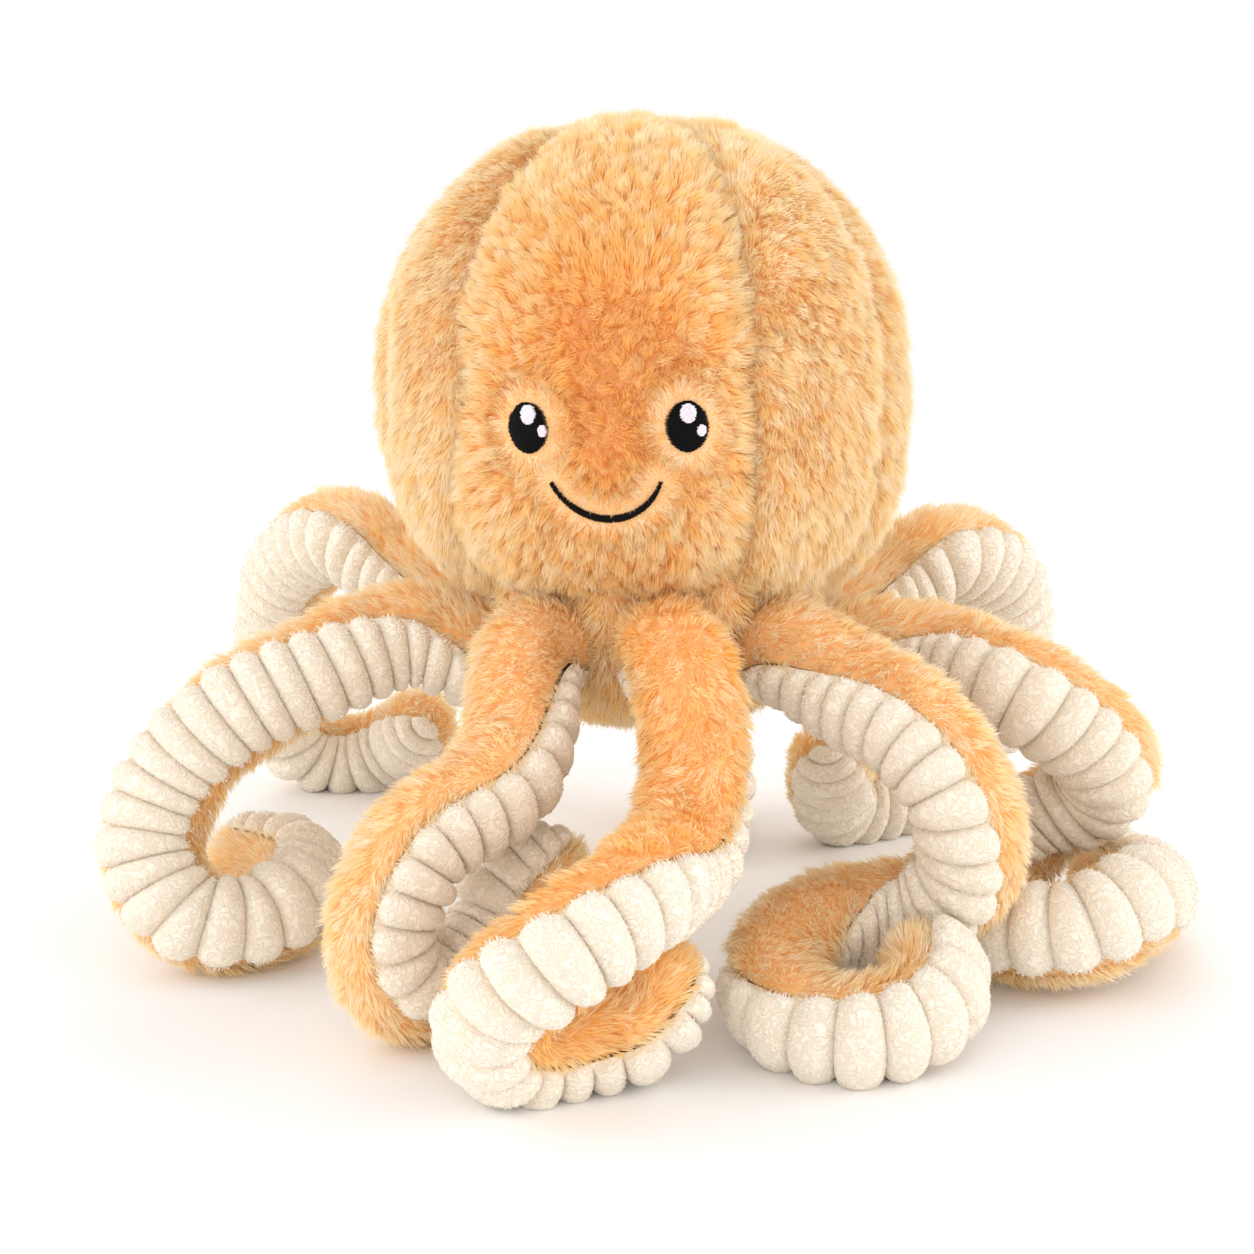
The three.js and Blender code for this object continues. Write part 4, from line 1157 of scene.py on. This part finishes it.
def add_face():
    """The eyes with their highlights, and the smile."""
    random = np.random.default_rng(3)
    for side, sign in (("left", -1), ("right", 1)):
        turn = FACE_TURN + sign * EYE_TURN
        eye = satin_oval(f"eye_{side}_stitches", turn, (0, 0), EYE_SIZE, EYE_BASE, EYE_DOME, EYE_PITCH, random)
        dress(eye, "black")
        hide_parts(f"eye_{side}")
        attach(eye, "head")
        for kind, (x, y, width, height) in (("large", LARGE_GLINT), ("small", SMALL_GLINT)):
            x += LEFT_GLINT_SHIFT if side == "left" else 0
            r = math.hypot(x / EYE_SIZE[0], y / EYE_SIZE[1]) * 2
            base = EYE_BASE + EYE_DOME * math.sqrt(max(1 - r * r, 0)) + GLINT_DOME
            glint = satin_oval(f"eye_{side}_{kind}_glint_stitches", turn, (x, y), (width, height), base,
                               GLINT_DOME, GLINT_PITCH, random)
            dress(glint, "white")
            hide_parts(f"eye_{side}_{kind}_glint")
            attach(glint, "head")
    lines = []
    count = int(2 * MOUTH_HALF * MOUTH_RADIUS / MOUTH_PITCH)
    for k in range(count + 1):
        along = -1 + 2 * k / count
        angle = along * MOUTH_HALF
        thin = 0.35 if random.random() < 0.07 else 1.0
        wide = (MOUTH_LINE / 2 * (1 - 0.5 * along ** 2) + random.uniform(-0.15, 0.15)) * thin
        reach = np.linspace(-1, 1, 7) * wide
        slant = reach * 0.35 / MOUTH_RADIUS
        x = MOUTH_SHIFT + (MOUTH_RADIUS + reach) * np.sin(angle + slant)
        y = MOUTH_RADIUS * math.cos(MOUTH_HALF) - (MOUTH_RADIUS + reach) * np.cos(angle + slant)
        height = 0.2 + 0.9 * np.sqrt(1 - np.linspace(-1, 1, 7) ** 2)
        height[[0, -1]] = -0.6
        lines.append(stitch(FACE_TURN, MOUTH_LEVEL, x, y, height))
    mouth = dress(thread_bundle("mouth_stitches", lines, MOUTH_THREAD), "black")
    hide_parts("mouth")
    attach(mouth, "head")


# Camera, light and floor

def add_camera():
    """The photograph's view: from about a metre in front, tipped down."""
    camera = bpy.data.objects.new("camera", bpy.data.cameras.new("camera"))
    camera.location = (np.array(CAMERA_PLACE) + [NECK[0], NECK[1], 0]) * MM
    camera.rotation_euler = (math.radians(90 - CAMERA_PITCH), 0, 0)
    camera.data.sensor_width = FILM_WIDTH
    camera.data.lens = LENS
    camera.data.clip_start = 0.05
    collection.objects.link(camera)
    bpy.context.scene.camera = camera


def add_light(name, place, size, power):
    """A round soft lamp that faces the object."""
    lamp = bpy.data.lights.new(name, "AREA")
    lamp.shape = "DISK"
    lamp.size = size
    lamp.energy = power
    light = bpy.data.objects.new(name, lamp)
    light.location = place
    aim = -np.array(place) + [0, 0, 0.15]
    light.rotation_euler = Vector(aim).to_track_quat("-Z", "Y").to_euler()
    collection.objects.link(light)


def add_world():
    """Even light from all sides. The camera and reflections see it as white."""
    scene = bpy.context.scene
    scene.world = scene.world or bpy.data.worlds.new("studio")
    scene.world.use_nodes = True
    n = Nodes(scene.world.node_tree)
    n.tree.nodes.clear()
    path = n.add("ShaderNodeLightPath")
    straight = n.math("MAXIMUM", path.outputs["Is Camera Ray"], path.outputs["Is Glossy Ray"])
    seen = n.add("ShaderNodeBackground", in_Color=(1, 1, 1, 1))
    light = n.add("ShaderNodeBackground", in_Color=(1, 0.995, 0.985, 1), in_Strength=0.9)
    n.link(n.shaders(straight, light, seen), n.add("ShaderNodeOutputWorld").inputs["Surface"])


def add_studio():
    """A white background, four soft lamps, and a pale floor that clears far from the object."""
    bpy.context.scene.view_settings.view_transform = "Standard"
    add_world()
    for name, (place, size, power) in LAMPS.items():
        add_light(name, place, size, power)
    corners = [(-4000, -3000, 0), (4000, -3000, 0), (4000, 6000, 0), (-4000, 6000, 0)]
    floor = new_mesh("floor", corners, [(0, 1, 2, 3)])
    n = Material("pale_floor")
    floor.data.materials.append(n.finish(n.group("mottle", Size=900.0, Deep="f8f6f4", Pale="fbfafa"), Roughness=0.8))
    n.clear_beyond(0.6, 1.3)


add_camera()
add_studio()
add_head()
add_hub()
add_face()
for arm_number, arm_name in enumerate(ARM_ORDER):
    add_arm(arm_number, arm_name)
